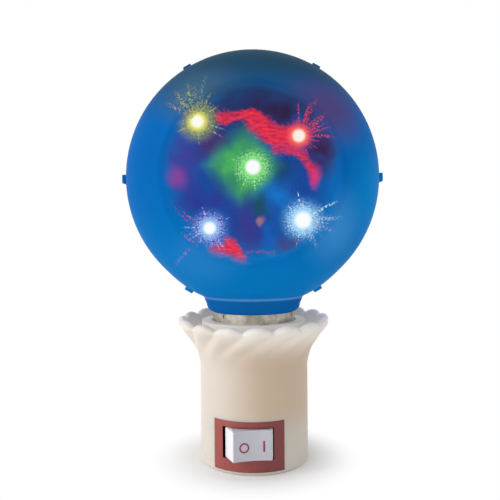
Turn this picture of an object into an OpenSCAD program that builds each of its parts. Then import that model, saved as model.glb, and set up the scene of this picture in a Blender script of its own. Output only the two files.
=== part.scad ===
// Plug-in disco ball light: a petal-collared lamp holder with a rocker switch and plug pins,
// and a ball bulb with five LEDs behind a starburst film, held by a sprung bayonet socket.
// Millimetres, +Z up, the front (switch) faces -Y, the origin is at the middle of the foot.

/* [Casing] */
// Wall of the tube
casing_wall = 1.4; // [1.2:0.1:1.6]
// Height at which the tube starts to flare
flare_z = 26; // [22:0.5:29]
// Outer diameter of the petal collar
petal_d = 42.5; // [38:0.5:46]
// Number of petals
petal_count = 16; // [12:1:20]
// How far the rearmost petals stand above the socket's rim
petal_over = 1.8; // [1:0.1:3]
// How much lower the petals are at the front than at the back
petal_dip = 1.4; // [0:0.1:2]
// Thickness of the petals' lip
lip_t = 2.8; // [2.2:0.1:3.4]
// Depth of the flutes between the petals
flute_depth = 0.7; // [0.3:0.1:0.9]
// Rounding of the foot's outer edge
foot_round = 0.8; // [0.4:0.1:1.2]
// Thickness of the bottom cover
cover_t = 2; // [1.6:0.1:2.4]

/* [Socket] */
// Wall of the socket's barrel
barrel_wall = 2.05; // [1.8:0.05:2.5]
// Thickness of the socket's floor
floor_t = 3; // [2.5:0.1:3.5]
// How far the bulb cap's rim stands above the socket's mouth
rim_show = 2.4; // [2.1:0.1:3]
// How far the band round the socket's mouth stands out
band_out = 1.15; // [0.8:0.05:1.5]
// Height of the band round the socket's mouth
band_h = 2.2; // [1.6:0.1:3]
// Distance between the two contacts
contact_pitch = 10.6; // [10:0.1:11]
// Diameter of the plungers' shoulder
plunger_d = 3.3; // [2.8:0.1:3.6]
// How far the bulb and plungers can be pushed down
push_travel = 2; // [1.5:0.1:2.2]
// Angle that the bulb turns between locked and free
twist_travel = 20; // [15:1:25]
// Wire diameter of the plungers' springs
spring_wire = 0.4; // [0.3:0.05:0.5]
// Turns of a plunger's spring
spring_turns = 4; // [3:1:5]

/* [Bulb cap] */
// Diameter of the cap's shell
cap_d = 22; // [21.8:0.05:22.2]
// Length of the cap from its rim to its contacts
cap_len = 22; // [21.5:0.1:22.5]
// Wall of the cap's shell
cap_wall = 0.5; // [0.4:0.05:0.6]
// Diameter of the cap's rim
rim_d = 23; // [22.6:0.1:23.4]
// Height of the cap's rim
rim_h = 1.5; // [1:0.1:2]
// Diameter of the two bayonet pins
bayonet_d = 2; // [1.8:0.1:2.2]
// Height of the bayonet pins above the contacts
bayonet_up = 6.5; // [6:0.1:7]

/* [Globe] */
// Outer diameter of the ball
globe_d = 70; // [66:0.5:74]
// Wall of the ball
globe_wall = 1.6; // [1.3:0.1:2]
// Diameter of the neck where it meets the ball
neck_d = 27.4; // [26.5:0.1:28.5]
// Diameter of the neck at its foot
neck_foot_d = 25.6; // [25:0.1:26.2]
// Rounding of the neck's foot
neck_round = 1.6; // [1:0.1:1.8]
// Height of the neck
neck_h = 4.8; // [4:0.1:6]
// Number of snap clips round the seam
clip_count = 6; // [6:6:12]
// Width of a snap clip
clip_w = 3; // [2.6:0.1:3.6]
// Thickness of a snap clip
clip_t = 1.4; // [1:0.1:1.8]
// Turn of the ball's seam from the holder's front
globe_turn = 7; // [0:1:12]

/* [LED board] */
// Diameter of the LED board
board_d = 52; // [48:0.5:56]
// Thickness of the LED board
board_t = 1.6; // [1.2:0.1:2]
// Width of the board's tongue
tongue_w = 15; // [14:0.1:15.6]
// Diameter of an LED
led_d = 5; // [4.6:0.1:5.4]
// Height of an LED
led_h = 8.6; // [7.6:0.1:9.2]
// Distance from the board to the starburst film
film_off = 9.8; // [9.4:0.1:12]
// Diameter of the starburst film
film_d = 49; // [47:0.5:52]
// Thickness of the starburst film
film_t = 0.4; // [0.3:0.05:0.6]

/* [Switch] */
// Half of the angle that the switch plate covers on the tube
plate_half = 38.2; // [36:0.1:42]
// Height of the plate's lower edge
plate_z = 0.95; // [0.8:0.05:1.4]
// Height of the plate
plate_h = 13.05; // [12.6:0.05:13.4]
// Height of the rocker
rocker_h = 7.8; // [7:0.1:8]
// Width of the rocker across its two face edges
rocker_w = 10.2; // [9.4:0.1:10.8]
// Width of the rocker at its pivot
rocker_pivot_w = 13; // [12.4:0.1:13]
// Height of the rocker's face edges above its pivot
rocker_rise = 5.35; // [5:0.05:5.8]
// Depth of the hollow in the rocker's face
rocker_hollow = 0.55; // [0.3:0.05:0.8]
// Depth of the rocker's pivot inside the tube's face
pivot_in = 3.8; // [3.6:0.05:3.9]
// Tilt of the rocker to either side
rocker_tilt = 16; // [12:1:16]
// Tilt of the see-saw contact to either side
bridge_tilt = 8; // [6:1:8]

/* [Plug] */
// Diameter of the plug pins
pin_d = 4; // [3.8:0.05:4.4]
// Length of the plug pins outside the block
pin_len = 19; // [17:0.5:21]
// Distance between the plug pins
pin_pitch = 19; // [18:0.25:19.5]
// Height of the plug pins
pin_z = 7.7; // [7:0.1:8.4]
// Distance of the plug's face from the tube's axis
plug_face = 16.6; // [16:0.1:19]
// Height of the plug block
block_h = 15.2; // [14.4:0.1:16]

/* [Hidden] */
$fn = 64;

// Clearances: snug for parts that stay put, run for pivots, loose for parts that move apart
snug = 0.1;
run = 0.06;
loose = 0.3;
// A little more than a cut needs, so that it goes right through
over = 1;

// Tube round the socket, and the heights in it from the foot upwards
front = 270;
cap_r = cap_d / 2;
bore_r = cap_r + loose;
barrel_r = bore_r + barrel_wall;
barrel_fit = 0.25;
casing_in = barrel_r + barrel_fit;
casing_r = casing_in + casing_wall;
cavity_room = 0.4;
cavity_h = rocker_h + cavity_room;
housing_end = 1;
housing_h = cavity_h + 2 * housing_end;
housing_lift = 1.1;
rocker_z = cover_t + housing_lift + housing_h / 2;
floor_z = rocker_z + housing_h / 2 + snug;
floor_top = floor_z + floor_t;
plunger_margin = 0.65;
plunger_proud = push_travel + plunger_margin;
contact_z = floor_top + plunger_proud;
touch = 0.05;
cap_z = contact_z + touch;
cap_top = cap_z + cap_len;
mouth_z = cap_top - rim_show;

// Petals
petal_r = petal_d / 2;
petal_top = mouth_z + petal_over;
petal_step = 360 / petal_count;
lip_h = 3.2;
lip_round = 1.2;
flare_power = 1.7;
flare_steps = 8;
flare_lift = 1;
lip_z = petal_top - lip_h;
lobe_spread = 1.6;
crest_flat = 0.12;
lobe_r = PI * (petal_r - lip_t / 2) / petal_count * lobe_spread;
flute_r = 2.4;
flute_lean = 10;
flute_foot = 0.4;
flute_reach = 0.35;
ledge_t = 1;
ledge_w = 1.2;
ledge_front = 35;
ledge_back = 22;

// Bottom cover and its screws
cover_r = casing_in - loose;
post_r = 2;
post_y = -2.6;
post_out = casing_in - ledge_w - post_r - snug;
post_x = sqrt(post_out * post_out - post_y * post_y);
post_at = [post_x, post_y];
screw_r = 0.9;
screw_fit = 0.05;
screw_len = 8;
screw_head_r = 1.9;
screw_head_h = 1;
cross_w = 0.5;
cross_len = 3;
rib_w = 10;
rib_t = 1;
rib_h = 2.6;

// Socket
mouth_gap = 0.4;
mouth_bore_r = rim_d / 2 + mouth_gap;
mouth_bore_h = push_travel + mouth_gap;
sleeve_wall = 0.55;
sleeve_lip = 0.8;
sleeve_fit = 0.02;
plunger_r = plunger_d / 2;
plunger_step = 0.25;
plunger_tip_r = plunger_r - plunger_step;
sleeve_bore_r = plunger_r + snug;
sleeve_r = sleeve_bore_r + sleeve_wall;
sleeve_drop = 4.8;
sleeve_z = floor_z - sleeve_drop;
sleeve_floor = 0.6;
spring_z = sleeve_z + sleeve_floor;
spring_h = 4;
plunger_z = spring_z + spring_h;
plunger_cone = 0.6;
plunger_nose_r = 0.9;

// Bulb cap
shell_up = 0.6;
cap_shell_z = cap_z + shell_up;
insulator_h = 1.8;
cap_contact_r = 2.2;
cap_contact_h = 1.9;
cap_contact_cone = 0.5;
bayonet_r = bayonet_d / 2;
bayonet_fit = 0.02;
bayonet_z = cap_z + bayonet_up;
bayonet_in = 0.4;
bayonet_reach = barrel_r - 0.2;
band_r = barrel_r + band_out;
band_in = bayonet_reach + 0.1;
slot_clear = 0.25;
slot_corner = 0.5;
slot_half = asin((bayonet_r + slot_clear) / bore_r);
slot_z = bayonet_z - push_travel - bayonet_r - slot_clear;
slot_top = bayonet_z + bayonet_r + slot_clear;
crimp_count = 10;
crimp_r = 0.7;
crimp_depth = 0.3;
lead_r = 0.45;
lead_rise = 0.8;
lead_clear = 0.12;

// Globe
globe_r = globe_d / 2;
globe_in = globe_r - globe_wall;
neck_r = neck_d / 2;
neck_foot_r = neck_foot_d / 2;
neck_steps = 5;
seam_start = 25;
globe_z = cap_top + neck_h + sqrt(globe_r * globe_r - neck_r * neck_r);
spigot_r = cap_r - cap_wall - snug;
spigot_len = 6;
spigot_wall = 1.2;
neck_bore_r = spigot_r - spigot_wall;
clip_gap = 0.15;
clip_reach = 3.4;
clip_root = 3;
clip_slot = [1.4, 1.5];
clip_slot_y = -1.2;
catch_over = 1.1;
grip_w = 3;
grip_t = 2.2;
grip_h = 4;
grip_bite = 0.4;

// LED board
board_r = board_d / 2;
board_face = board_t / 2;
tongue_up = 4.6;
tongue_z = cap_z + tongue_up;
led_r = led_d / 2;
led_flange_w = 0.4;
led_flange_r = led_r + led_flange_w;
led_flange_h = 1;
led_lead_r = 0.3;
led_lead_pitch = 2.54;
led_lead_tail = 1.2;
yellow_at = [-14.5, 14];
red_at = [12.8, 10.3];
green_at = [0.3, 2.2];
blue_left_at = [-11.1, -14.2];
blue_right_at = [13.7, -12];
led_sites = [yellow_at, red_at, green_at, blue_left_at, blue_right_at];
film_r = film_d / 2;
post_film_r = 1.3;
post_inset = 1.6;
post_circle_r = film_r - post_inset;
film_post_count = 4;

// Parts on the board
dropper_w = 9;
dropper_d = 4.2;
dropper_h = 8;
dropper_up = 3;
rectifier_w = 6.4;
rectifier_d = 3;
rectifier_h = 4.8;
rectifier_up = 3;
smoothing_r = 2.5;
smoothing_h = 9;
smoothing_up = 9;
fusible_r = 1.1;
fusible_len = 6;
fusible_up = 14;
chip_w = 9.4;
chip_d = 3.2;
chip_h = 6.3;
chip_up = 8;
resistor_r = 1;
resistor_len = 5;
resistor_pitch = 5;
resistor_count = 5;
resistor_shift = -0.6;
resistor_drop = 8;
lay = 0.02;

// Switch
plate_sink = 0.15;
plate_r = casing_r - plate_sink;
plate_in = casing_in - 2 * snug;
window_gap = 0.6;
hook_t = 0.5;
hook_in = plate_in - hook_t;
hook_out = casing_in - snug;
hook_from = plate_half - 1.8;
hook_to = plate_half + 5.2;
hook_z = 3.2;
hook_h = 9.8;
opening_room = 0.5;
opening_w = rocker_pivot_w + cavity_room;
opening_h = rocker_h + opening_room;
pivot_r = casing_r - pivot_in;
housing_wall = 0.6;
housing_deep = 8;
housing_back = pivot_r - housing_deep;
housing_floor = 1.2;
housing_r = plate_in - snug;
housing_w = opening_w + 2 * housing_wall;
waist_w = 0.6;
waist_y = 0.8;
shoulder_y = -0.3;
hub_w = 1;
hub_y = 2.2;
trunnion_r = 1.2;
trunnion_len = housing_end;
stem_r = 1.8;
stem_len = 3.4;
tip_r = 0.95;
tip_reach = 5;
tip_bore_depth = 4.2;
rocker_spring_wire = 0.3;
rocker_spring_turns = 2.5;
tip_foot = 1.4;
bridge_gap = 0.15;
bridge_t = 0.5;
bridge_w = 3;
bridge_half = 4.4;
bridge_arm = 14;
knuckle_r = 0.5;
bridge_apex = tip_reach + bridge_gap;
knuckle_gap = 0.1;
knuckle_y = -pivot_r + bridge_apex + bridge_t + knuckle_r + knuckle_gap;
bridge_hub_w = 0.9;
bridge_hub_h = 0.5;
blade_t = 0.6;
blade_h = 2.8;
blade_drop = 0.4;
blade_z = sleeve_z - blade_drop - blade_h;
blade_tail = 2.2;
blade_end = -housing_back + blade_tail;
load_x = -4.2;
load_pad_w = 2;
load_pad_from_end = 0.5;
load_gap = 0.2;

// Plug
pin_r = pin_d / 2;
shank_step = 0.4;
shank_r = pin_r - shank_step;
shank_fit = 0.03;
block_in = 6;
block_round = 3;
cutout_side = 0.8;
cutout_w = pin_pitch + 2 * shank_r + 2 * cutout_side;
block_cheek = 1;
block_w = cutout_w + 2 * block_cheek;
tail_y = 4.2;

// Wires, each from a little before one terminal to a little before the other
wire_r = 0.5;
wire_sides = 8;
wire_steps = 4;
wire_gap = 0.1;
wire_lead = 0.7;
wire_start = tail_y - wire_gap;
wire_end = sleeve_z - wire_gap;
blade_mid = blade_z + blade_h / 2;
supply_route = [
    [-pin_pitch / 2, wire_start, pin_z],
    [-pin_pitch / 2, wire_start - wire_lead, pin_z],
    [-pin_pitch / 2 + 0.3, wire_start - 1.6, pin_z - 0.6],
    [-7, 1.8, 5.4],
    [-4.5, 2.2, 4.6],
    [-0.7, 1.5, blade_mid - 1.1],
    [0, blade_end + wire_gap + 1.5 * wire_lead, blade_mid],
    [0, blade_end + wire_gap, blade_mid]];
switched_route = [
    [load_x, blade_end + wire_gap, blade_mid],
    [load_x, blade_end + wire_gap + wire_lead, blade_mid],
    [load_x - 0.7, 0.5, blade_mid],
    [-contact_pitch / 2, 0, wire_end - wire_lead],
    [-contact_pitch / 2, 0, wire_end]];
return_route = [
    [pin_pitch / 2, wire_start, pin_z],
    [pin_pitch / 2, wire_start - wire_lead, pin_z],
    [pin_pitch / 2 - 0.3, wire_start - 1.6, pin_z - 0.6],
    [7.4, 1.2, 5.9],
    [5.8, 0.3, 6.2],
    [contact_pitch / 2, 0, wire_end - wire_lead],
    [contact_pitch / 2, 0, wire_end]];

// Springs
coil_rings = 8;
coil_sides = 6;
plunger_coil = coil_path(plunger_r - spring_wire / 2 - snug, spring_wire, spring_turns, spring_h);
rocker_coil = coil_path(tip_r - rocker_spring_wire / 2, rocker_spring_wire, rocker_spring_turns,
    tip_foot - stem_len + tip_bore_depth);
echo(plunger_spring_gap = coil_gap(plunger_coil, spring_wire));
echo(rocker_spring_gap = coil_gap(rocker_coil, rocker_spring_wire));

// Unit vector
function unit(v) = v / norm(v);

// Direction of a route at point i
function heading(p, i) = unit(p[min(i + 1, len(p) - 1)] - p[max(i - 1, 0)]);

// A smooth curve through four points, at t from 0 to 1 between the middle two
function bend(a, b, c, d, t) =
    (2 * b + (c - a) * t + (2 * a - 5 * b + 4 * c - d) * t * t + (3 * b - a - 3 * c + d) * t * t * t) / 2;

// A route's points with more points between them on a smooth curve
function smooth(p) = [
    for (i = [0:len(p) - 2])
        for (s = [0:wire_steps - 1])
            bend(p[max(i - 1, 0)], p[i], p[i + 1], p[min(i + 2, len(p) - 1)], s / wire_steps),
    p[len(p) - 1]];

// A closed tube of radius r along the points p, with rings set up from the direction side
module tube(p, r, sides, side) {
    rings = len(p);
    points = [
        for (i = [0:rings - 1])
            let (t = heading(p, i), n = unit(cross(t, side)), b = cross(t, n))
                for (j = [0:sides - 1])
                    p[i] + r * (cos(360 * j / sides) * n + sin(360 * j / sides) * b)];
    walls = [
        for (i = [0:rings - 2])
            for (j = [0:sides - 1])
                let (k = (j + 1) % sides, a = i * sides, c = a + sides)
                    each [[a + j, c + k, a + k], [a + j, c + j, c + k]]];
    ends = [
        for (j = [1:sides - 2])
            let (last = (rings - 1) * sides)
                each [[0, j, j + 1], [last, last + j + 1, last + j]]];
    polyhedron(points, concat(walls, ends));
}

// Points along a coil spring of mean radius r and height h, standing on z = 0
function coil_path(r, wire, turns, h) = [
    for (i = [0:turns * coil_rings])
        [r * cos(360 * i / coil_rings), r * sin(360 * i / coil_rings),
            wire / 2 + (h - wire) * i / (turns * coil_rings)]];

// Least gap between a coil's neighbouring turns, measured on its points
function coil_gap(path, wire) =
    min([
        for (i = [0:len(path) - 1])
            for (j = [i + coil_rings / 2:1:len(path) - 1])
                norm(path[i] - path[j])]) - wire;

// A round bar of radius r from point p to point q
module bar(p, q, r) {
    v = q - p;
    translate(p)
        rotate([0, acos(v[2] / norm(v)), atan2(v[1], v[0])])
            cylinder(r = r, h = norm(v));
}

// A ring sector between the angles a and b
module sector(r_in, r_out, z, h, a, b) {
    translate([0, 0, z])
        rotate([0, 0, a])
            rotate_extrude(angle = b - a)
                translate([r_in, 0])
                    square([r_out - r_in, h]);
}

// A rectangle with round corners, centred
module round_rect(w, h, r) {
    square([w - 2 * r, h], center = true);
    square([w, h - 2 * r], center = true);
    for (x = [-1, 1], y = [-1, 1])
        translate([x * (w / 2 - r), y * (h / 2 - r)])
            circle(r = r);
}

// The tube's and collar's wall, turned about the axis
module casing_wall_shape() {
    function flare(t, from, to) = from + (to - from) * pow(t, flare_power);
    foot = [
        for (a = [-90:30:0])
            [casing_r - foot_round + foot_round * cos(a), foot_round + foot_round * sin(a)]];
    outside = [
        for (i = [0:flare_steps])
            let (t = i / flare_steps) [flare(t, casing_r, petal_r), flare_z + t * (lip_z - flare_z)]];
    lip = [
        for (a = [0:30:90])
            [petal_r - lip_round + lip_round * cos(a), petal_top - lip_round + lip_round * sin(a)]];
    inside = [
        for (i = [flare_steps:-1:0])
            let (t = i / flare_steps, z = flare_z + flare_lift)
                [flare(t, casing_in, petal_r - lip_t), z + t * (petal_top - lip_round - z)]];
    rotate_extrude()
        polygon(concat(foot, outside, lip, inside, [[casing_in, 0]]));
}

// What lies above each petal's rounded top, which is lower towards the front
module petal_tops() {
    half = (petal_r + over) * tan(petal_step / 2);
    for (i = [0:petal_count - 1]) {
        turn = front + (i + 0.5) * petal_step;
        dip = petal_dip * (1 - sin(turn)) / 2;
        rotate([0, 0, turn])
            translate([casing_in, 0, petal_top - lobe_r + crest_flat - dip])
                rotate([90, 0, 90])
                    linear_extrude(petal_r - casing_in + over)
                        difference() {
                            translate([-half, 0])
                                square([2 * half, lobe_r + petal_dip + over]);
                            circle(r = lobe_r);
                        }
    }
}

// Slanting flutes between the petals, cut from outside
module petal_flutes() {
    axis_off = flute_r - flute_depth;
    foot_z = flare_z + flute_foot * (lip_z - flare_z);
    foot_r = casing_r + (petal_r - casing_r) * pow(flute_foot, flare_power);
    for (i = [0:petal_count - 1])
        rotate([0, 0, front + i * petal_step]) {
            foot = [(foot_r + flute_r) * cos(-flute_lean), (foot_r + flute_r) * sin(-flute_lean), foot_z];
            top = [petal_r + axis_off, 0, lip_z];
            bar(foot, top + (top - foot) * flute_reach, flute_r);
        }
}

// Ledges on both sides of the tube's bore
module side_ledges(z) {
    sector(casing_in - ledge_w, casing_in + casing_wall / 2, z, ledge_t, -ledge_front, ledge_back);
    sector(casing_in - ledge_w, casing_in + casing_wall / 2, z, ledge_t, 180 - ledge_back, 180 + ledge_front);
}

module casing() {
    color("ivory")
        difference() {
            union() {
                casing_wall_shape();
                side_ledges(cover_t);
                side_ledges(floor_z - ledge_t);
            }
            petal_tops();
            petal_flutes();
            sector(casing_in - over, casing_r + over, plate_z - snug, plate_h + 2 * snug,
                front - plate_half - window_gap, front + plate_half + window_gap);
            translate([-cutout_w / 2, 0, -over])
                cube([cutout_w, casing_r + over, block_h + snug + over]);
        }
}

module bottom_cover() {
    color("linen")
        difference() {
            union() {
                cylinder(r = cover_r, h = cover_t);
                translate([-rib_w / 2, -housing_back + snug, cover_t])
                    cube([rib_w, rib_t, rib_h]);
            }
            for (s = [-1, 1])
                translate([s * post_at[0], post_at[1], 0]) {
                    translate([0, 0, -over])
                        cylinder(r = screw_r + snug, h = cover_t + 2 * over);
                    translate([0, 0, -over])
                        cylinder(r = screw_head_r + snug, h = over + screw_head_h + snug);
                }
        }
}

module cover_screws() {
    color("silver")
        for (s = [-1, 1])
            translate([s * post_at[0], post_at[1], snug])
                difference() {
                    union() {
                        cylinder(r = screw_head_r, h = screw_head_h);
                        cylinder(r = screw_r, h = screw_len);
                    }
                    for (a = [0, 90])
                        rotate([0, 0, a])
                            cube([cross_w, cross_len, 2 * cross_w], center = true);
                }
}

// One bayonet slot: down from the mouth, then round to where the pin locks
module bayonet_slot(at) {
    sector(bore_r - over, barrel_r + over, slot_z, slot_top - slot_z,
        at - slot_half, at + twist_travel + slot_half + slot_corner);
    sector(bore_r - 2 * over, barrel_r + 2 * over, slot_z + slot_corner, mouth_z + over - slot_z,
        at + twist_travel - slot_half, at + twist_travel + slot_half);
}

module socket_barrel() {
    color("antiquewhite") {
        difference() {
            union() {
                translate([0, 0, floor_z])
                    cylinder(r = barrel_r, h = mouth_z - floor_z);
                for (s = [-1, 1])
                    translate([s * post_at[0], post_at[1], cover_t])
                        cylinder(r = post_r, h = floor_top - cover_t - over);
            }
            translate([0, 0, floor_top])
                cylinder(r = bore_r, h = mouth_z - floor_top + over);
            translate([0, 0, mouth_z - mouth_bore_h])
                cylinder(r = mouth_bore_r, h = mouth_bore_h + over);
            for (s = [-1, 1]) {
                translate([s * contact_pitch / 2, 0, floor_z - over])
                    cylinder(r = sleeve_r + sleeve_fit, h = floor_t + 2 * over);
                translate([s * post_at[0], post_at[1], cover_t - over])
                    cylinder(r = screw_r + screw_fit, h = screw_len + over);
            }
            bayonet_slot(90);
            bayonet_slot(front);
        }
        // Band that closes the slots' open tops on the outside
        translate([0, 0, mouth_z - band_h])
            difference() {
                cylinder(r = band_r, h = band_h);
                translate([0, 0, -over])
                    cylinder(r = band_in, h = band_h + 2 * over);
            }
    }
}

module contact_sleeves() {
    color("goldenrod")
        for (s = [-1, 1])
            translate([s * contact_pitch / 2, 0, sleeve_z])
                difference() {
                    cylinder(r = sleeve_r, h = floor_top - sleeve_z);
                    translate([0, 0, sleeve_floor])
                        cylinder(r = sleeve_bore_r, h = floor_top - sleeve_z - sleeve_floor - sleeve_lip);
                    translate([0, 0, sleeve_floor])
                        cylinder(r = plunger_tip_r + snug, h = floor_top - sleeve_z);
                }
}

module plunger_springs() {
    color("silver")
        for (s = [-1, 1])
            translate([s * contact_pitch / 2, 0, spring_z])
                tube(plunger_coil, spring_wire / 2, coil_sides, [0, 0, 1]);
}

module contact_plungers() {
    shoulder = floor_top - sleeve_lip - touch - plunger_z;
    color("gold")
        for (s = [-1, 1])
            translate([s * contact_pitch / 2, 0, plunger_z]) {
                cylinder(r = plunger_r, h = shoulder);
                cylinder(r = plunger_tip_r, h = contact_z - plunger_z - plunger_cone);
                translate([0, 0, contact_z - plunger_z - plunger_cone])
                    cylinder(r1 = plunger_tip_r, r2 = plunger_nose_r, h = plunger_cone);
            }
}

module plug_block() {
    room = casing_in - snug;
    color("ivory")
        difference() {
            translate([0, plug_face, block_h / 2])
                rotate([90, 0, 0])
                    linear_extrude(plug_face - block_in)
                        round_rect(block_w, block_h, block_round);
            difference() {
                translate([0, 0, -over])
                    cylinder(r = casing_r + snug, h = block_h + 2 * over);
                translate([0, 0, -2 * over])
                    cylinder(r = room, h = block_h + 4 * over);
                translate([-cutout_w / 2 + snug, 0, -2 * over])
                    cube([cutout_w - 2 * snug, plug_face, block_h + 4 * over]);
            }
            translate([0, 0, -over])
                cylinder(r = room, h = cover_t + snug + over);
            translate([0, 0, floor_z - snug])
                cylinder(r = room, h = block_h);
            for (s = [-1, 1])
                translate([s * pin_pitch / 2, 0, pin_z])
                    rotate([-90, 0, 0])
                        cylinder(r = shank_r + shank_fit, h = plug_face + over);
        }
}

// A plug pin with its shank in the block; side is -1 for the left one, seen from the front
module plug_pin(side) {
    color("lightgray")
        translate([side * pin_pitch / 2, 0, pin_z])
            rotate([-90, 0, 0]) {
                translate([0, 0, tail_y])
                    cylinder(r = shank_r, h = plug_face - tail_y);
                translate([0, 0, plug_face])
                    cylinder(r = pin_r, h = pin_len - pin_r);
                translate([0, 0, plug_face + pin_len - pin_r])
                    sphere(r = pin_r);
            }
}

module plug_pin_left() {
    plug_pin(-1);
}

module plug_pin_right() {
    plug_pin(1);
}

module switch_plate() {
    color("brown")
        difference() {
            union() {
                sector(plate_in, plate_r, plate_z, plate_h, front - plate_half, front + plate_half);
                sector(hook_in, hook_out, hook_z, hook_h, front - hook_to, front - hook_from);
                sector(hook_in, hook_out, hook_z, hook_h, front + hook_from, front + hook_to);
            }
            translate([-opening_w / 2, -casing_r - over, rocker_z - opening_h / 2])
                cube([opening_w, casing_r, opening_h]);
        }
}

module switch_housing() {
    color("dimgray")
        difference() {
            intersection() {
                translate([-housing_w / 2, -casing_r, rocker_z - housing_h / 2])
                    cube([housing_w, casing_r - housing_back, housing_h]);
                cylinder(r = housing_r, h = petal_top);
            }
            translate([-opening_w / 2, -casing_r, rocker_z - cavity_h / 2])
                cube([opening_w, casing_r - housing_back - housing_floor, cavity_h]);
            translate([0, -pivot_r, rocker_z - housing_h / 2 - over])
                cylinder(r = trunnion_r + run, h = housing_h + 2 * over);
            for (x = [0, load_x])
                translate([x - blade_t / 2 - snug, -casing_r / 2, blade_z - snug])
                    cube([blade_t + 2 * snug, casing_r / 2, blade_h + 2 * snug]);
        }
}

// Places what follows the rocker, with the pivot at the origin and the face towards -Y
module at_rocker() {
    translate([0, -pivot_r, rocker_z])
        rotate([0, 0, rocker_tilt])
            children();
}

module rocker() {
    half = rocker_w / 2;
    wide = rocker_pivot_w / 2;
    face = rocker_rise - rocker_hollow;
    color("white")
        at_rocker()
            difference() {
                union() {
                    translate([0, 0, -rocker_h / 2])
                        linear_extrude(rocker_h)
                            polygon([[-half, -rocker_rise], [0, -face], [half, -rocker_rise],
                                [wide, shoulder_y], [wide - waist_w, waist_y], [stem_r + hub_w, hub_y],
                                [-stem_r - hub_w, hub_y], [-wide + waist_w, waist_y], [-wide, shoulder_y]]);
                    translate([0, 0, -rocker_h / 2 - trunnion_len])
                        cylinder(r = trunnion_r, h = rocker_h + 2 * trunnion_len);
                    rotate([-90, 0, 0])
                        cylinder(r = stem_r, h = stem_len);
                }
                translate([0, stem_len - tip_bore_depth, 0])
                    rotate([-90, 0, 0])
                        cylinder(r = tip_r + snug, h = tip_bore_depth + over);
            }
}

module rocker_plunger() {
    color("gold")
        at_rocker()
            rotate([-90, 0, 0]) {
                translate([0, 0, tip_reach - tip_r])
                    sphere(r = tip_r);
                translate([0, 0, tip_foot])
                    cylinder(r = tip_r, h = tip_reach - tip_r - tip_foot);
            }
}

module rocker_spring() {
    color("silver")
        at_rocker()
            translate([0, stem_len - tip_bore_depth, 0])
                rotate([-90, 0, 0])
                    tube(rocker_coil, rocker_spring_wire / 2, coil_sides, [0, 0, 1]);
}

module contact_bridge() {
    drop = bridge_half * tan(bridge_arm);
    apex = -bridge_t - knuckle_r - knuckle_gap;
    under = apex + bridge_t;
    color("gold")
        translate([0, knuckle_y, rocker_z - bridge_w / 2])
            rotate([0, 0, -bridge_tilt])
                linear_extrude(bridge_w)
                    difference() {
                        polygon([[0, apex], [bridge_half, apex - drop], [bridge_half, under - drop],
                            [bridge_hub_w, under], [bridge_hub_w, under + bridge_hub_h],
                            [-bridge_hub_w, under + bridge_hub_h], [-bridge_hub_w, under],
                            [-bridge_half, under - drop], [-bridge_half, apex - drop]]);
                        circle(r = knuckle_r + run);
                    }
}

module supply_terminal() {
    color("goldenrod") {
        translate([0, knuckle_y, rocker_z - bridge_w / 2])
            cylinder(r = knuckle_r, h = bridge_w);
        translate([-blade_t / 2, knuckle_y, blade_z])
            cube([blade_t, blade_end - knuckle_y, blade_h]);
    }
}

// Depth of the see-saw's underside at the load contact when its arm is down
function load_depth() =
    let (x = load_pad_from_end - bridge_half, y = -knuckle_r - knuckle_gap + x * tan(bridge_arm))
        knuckle_y - x * sin(bridge_tilt) + y * cos(bridge_tilt);

module load_terminal() {
    pad_y = load_depth() + load_gap;
    color("goldenrod") {
        translate([load_x - load_pad_w / 2, pad_y, rocker_z - bridge_w / 2])
            cube([load_pad_w, blade_t, bridge_w]);
        translate([load_x - blade_t / 2, pad_y, blade_z])
            cube([blade_t, blade_end - pad_y, blade_h]);
    }
}

module supply_wire() {
    color("saddlebrown")
        tube(smooth(supply_route), wire_r, wire_sides, [0, 0, 1]);
}

module switched_wire() {
    color("saddlebrown")
        tube(smooth(switched_route), wire_r, wire_sides, [1, 0, 0]);
}

module return_wire() {
    color("steelblue")
        tube(smooth(return_route), wire_r, wire_sides, [1, 1, 0]);
}

// Neck below the ball, with a rounded foot and the spigot that the cap is crimped on
module neck() {
    round_foot = [
        for (i = [0:neck_steps])
            let (a = -90 + 90 * i / neck_steps)
                [neck_foot_r - neck_round + neck_round * cos(a), cap_top + neck_round + neck_round * sin(a)]];
    top = cap_top + neck_h;
    rotate_extrude()
        polygon(concat([[0, cap_top]], round_foot, [[neck_r, top], [0, top + neck_r]]));
    translate([0, 0, cap_top - spigot_len])
        cylinder(r = spigot_r, h = spigot_len + over);
}

// A ball whose poles point to the front and rear, so that the seam is its equator
module ball(r) {
    translate([0, 0, globe_z])
        rotate([0, seam_start, 0])
            rotate([90, 0, 0])
                sphere(r = r);
}

// The whole ball shell with its neck, before it is split at the seam
module globe_shell() {
    difference() {
        union() {
            ball(globe_r);
            rotate([0, 0, seam_start])
                neck();
        }
        ball(globe_in);
        rotate([0, 0, seam_start])
            translate([0, 0, cap_top - spigot_len - over])
                cylinder(r = neck_bore_r, h = spigot_len + over + neck_h + neck_r);
    }
}

// Half of the ball shell; side is -1 for the front, with the ribs that grip the board's tongue
module globe_half(side) {
    big = globe_d + 2 * over;
    intersection() {
        union() {
            globe_shell();
            for (s = [-1, 1])
                translate([s * (neck_bore_r + grip_bite - grip_w / 2),
                    side * (board_face + touch + grip_t / 2), cap_top + grip_h / 2])
                    cube([grip_w, grip_t, grip_h], center = true);
        }
        translate([-big / 2, side < 0 ? -big : 0, 0])
            cube([big, big, globe_z + big]);
    }
}

// Places what follows at each clip: X points out of the ball, Z along the seam
module at_clips() {
    for (i = [0:clip_count - 1])
        translate([0, 0, globe_z])
            rotate([0, -i * 360 / clip_count, 0])
                children();
}

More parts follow.
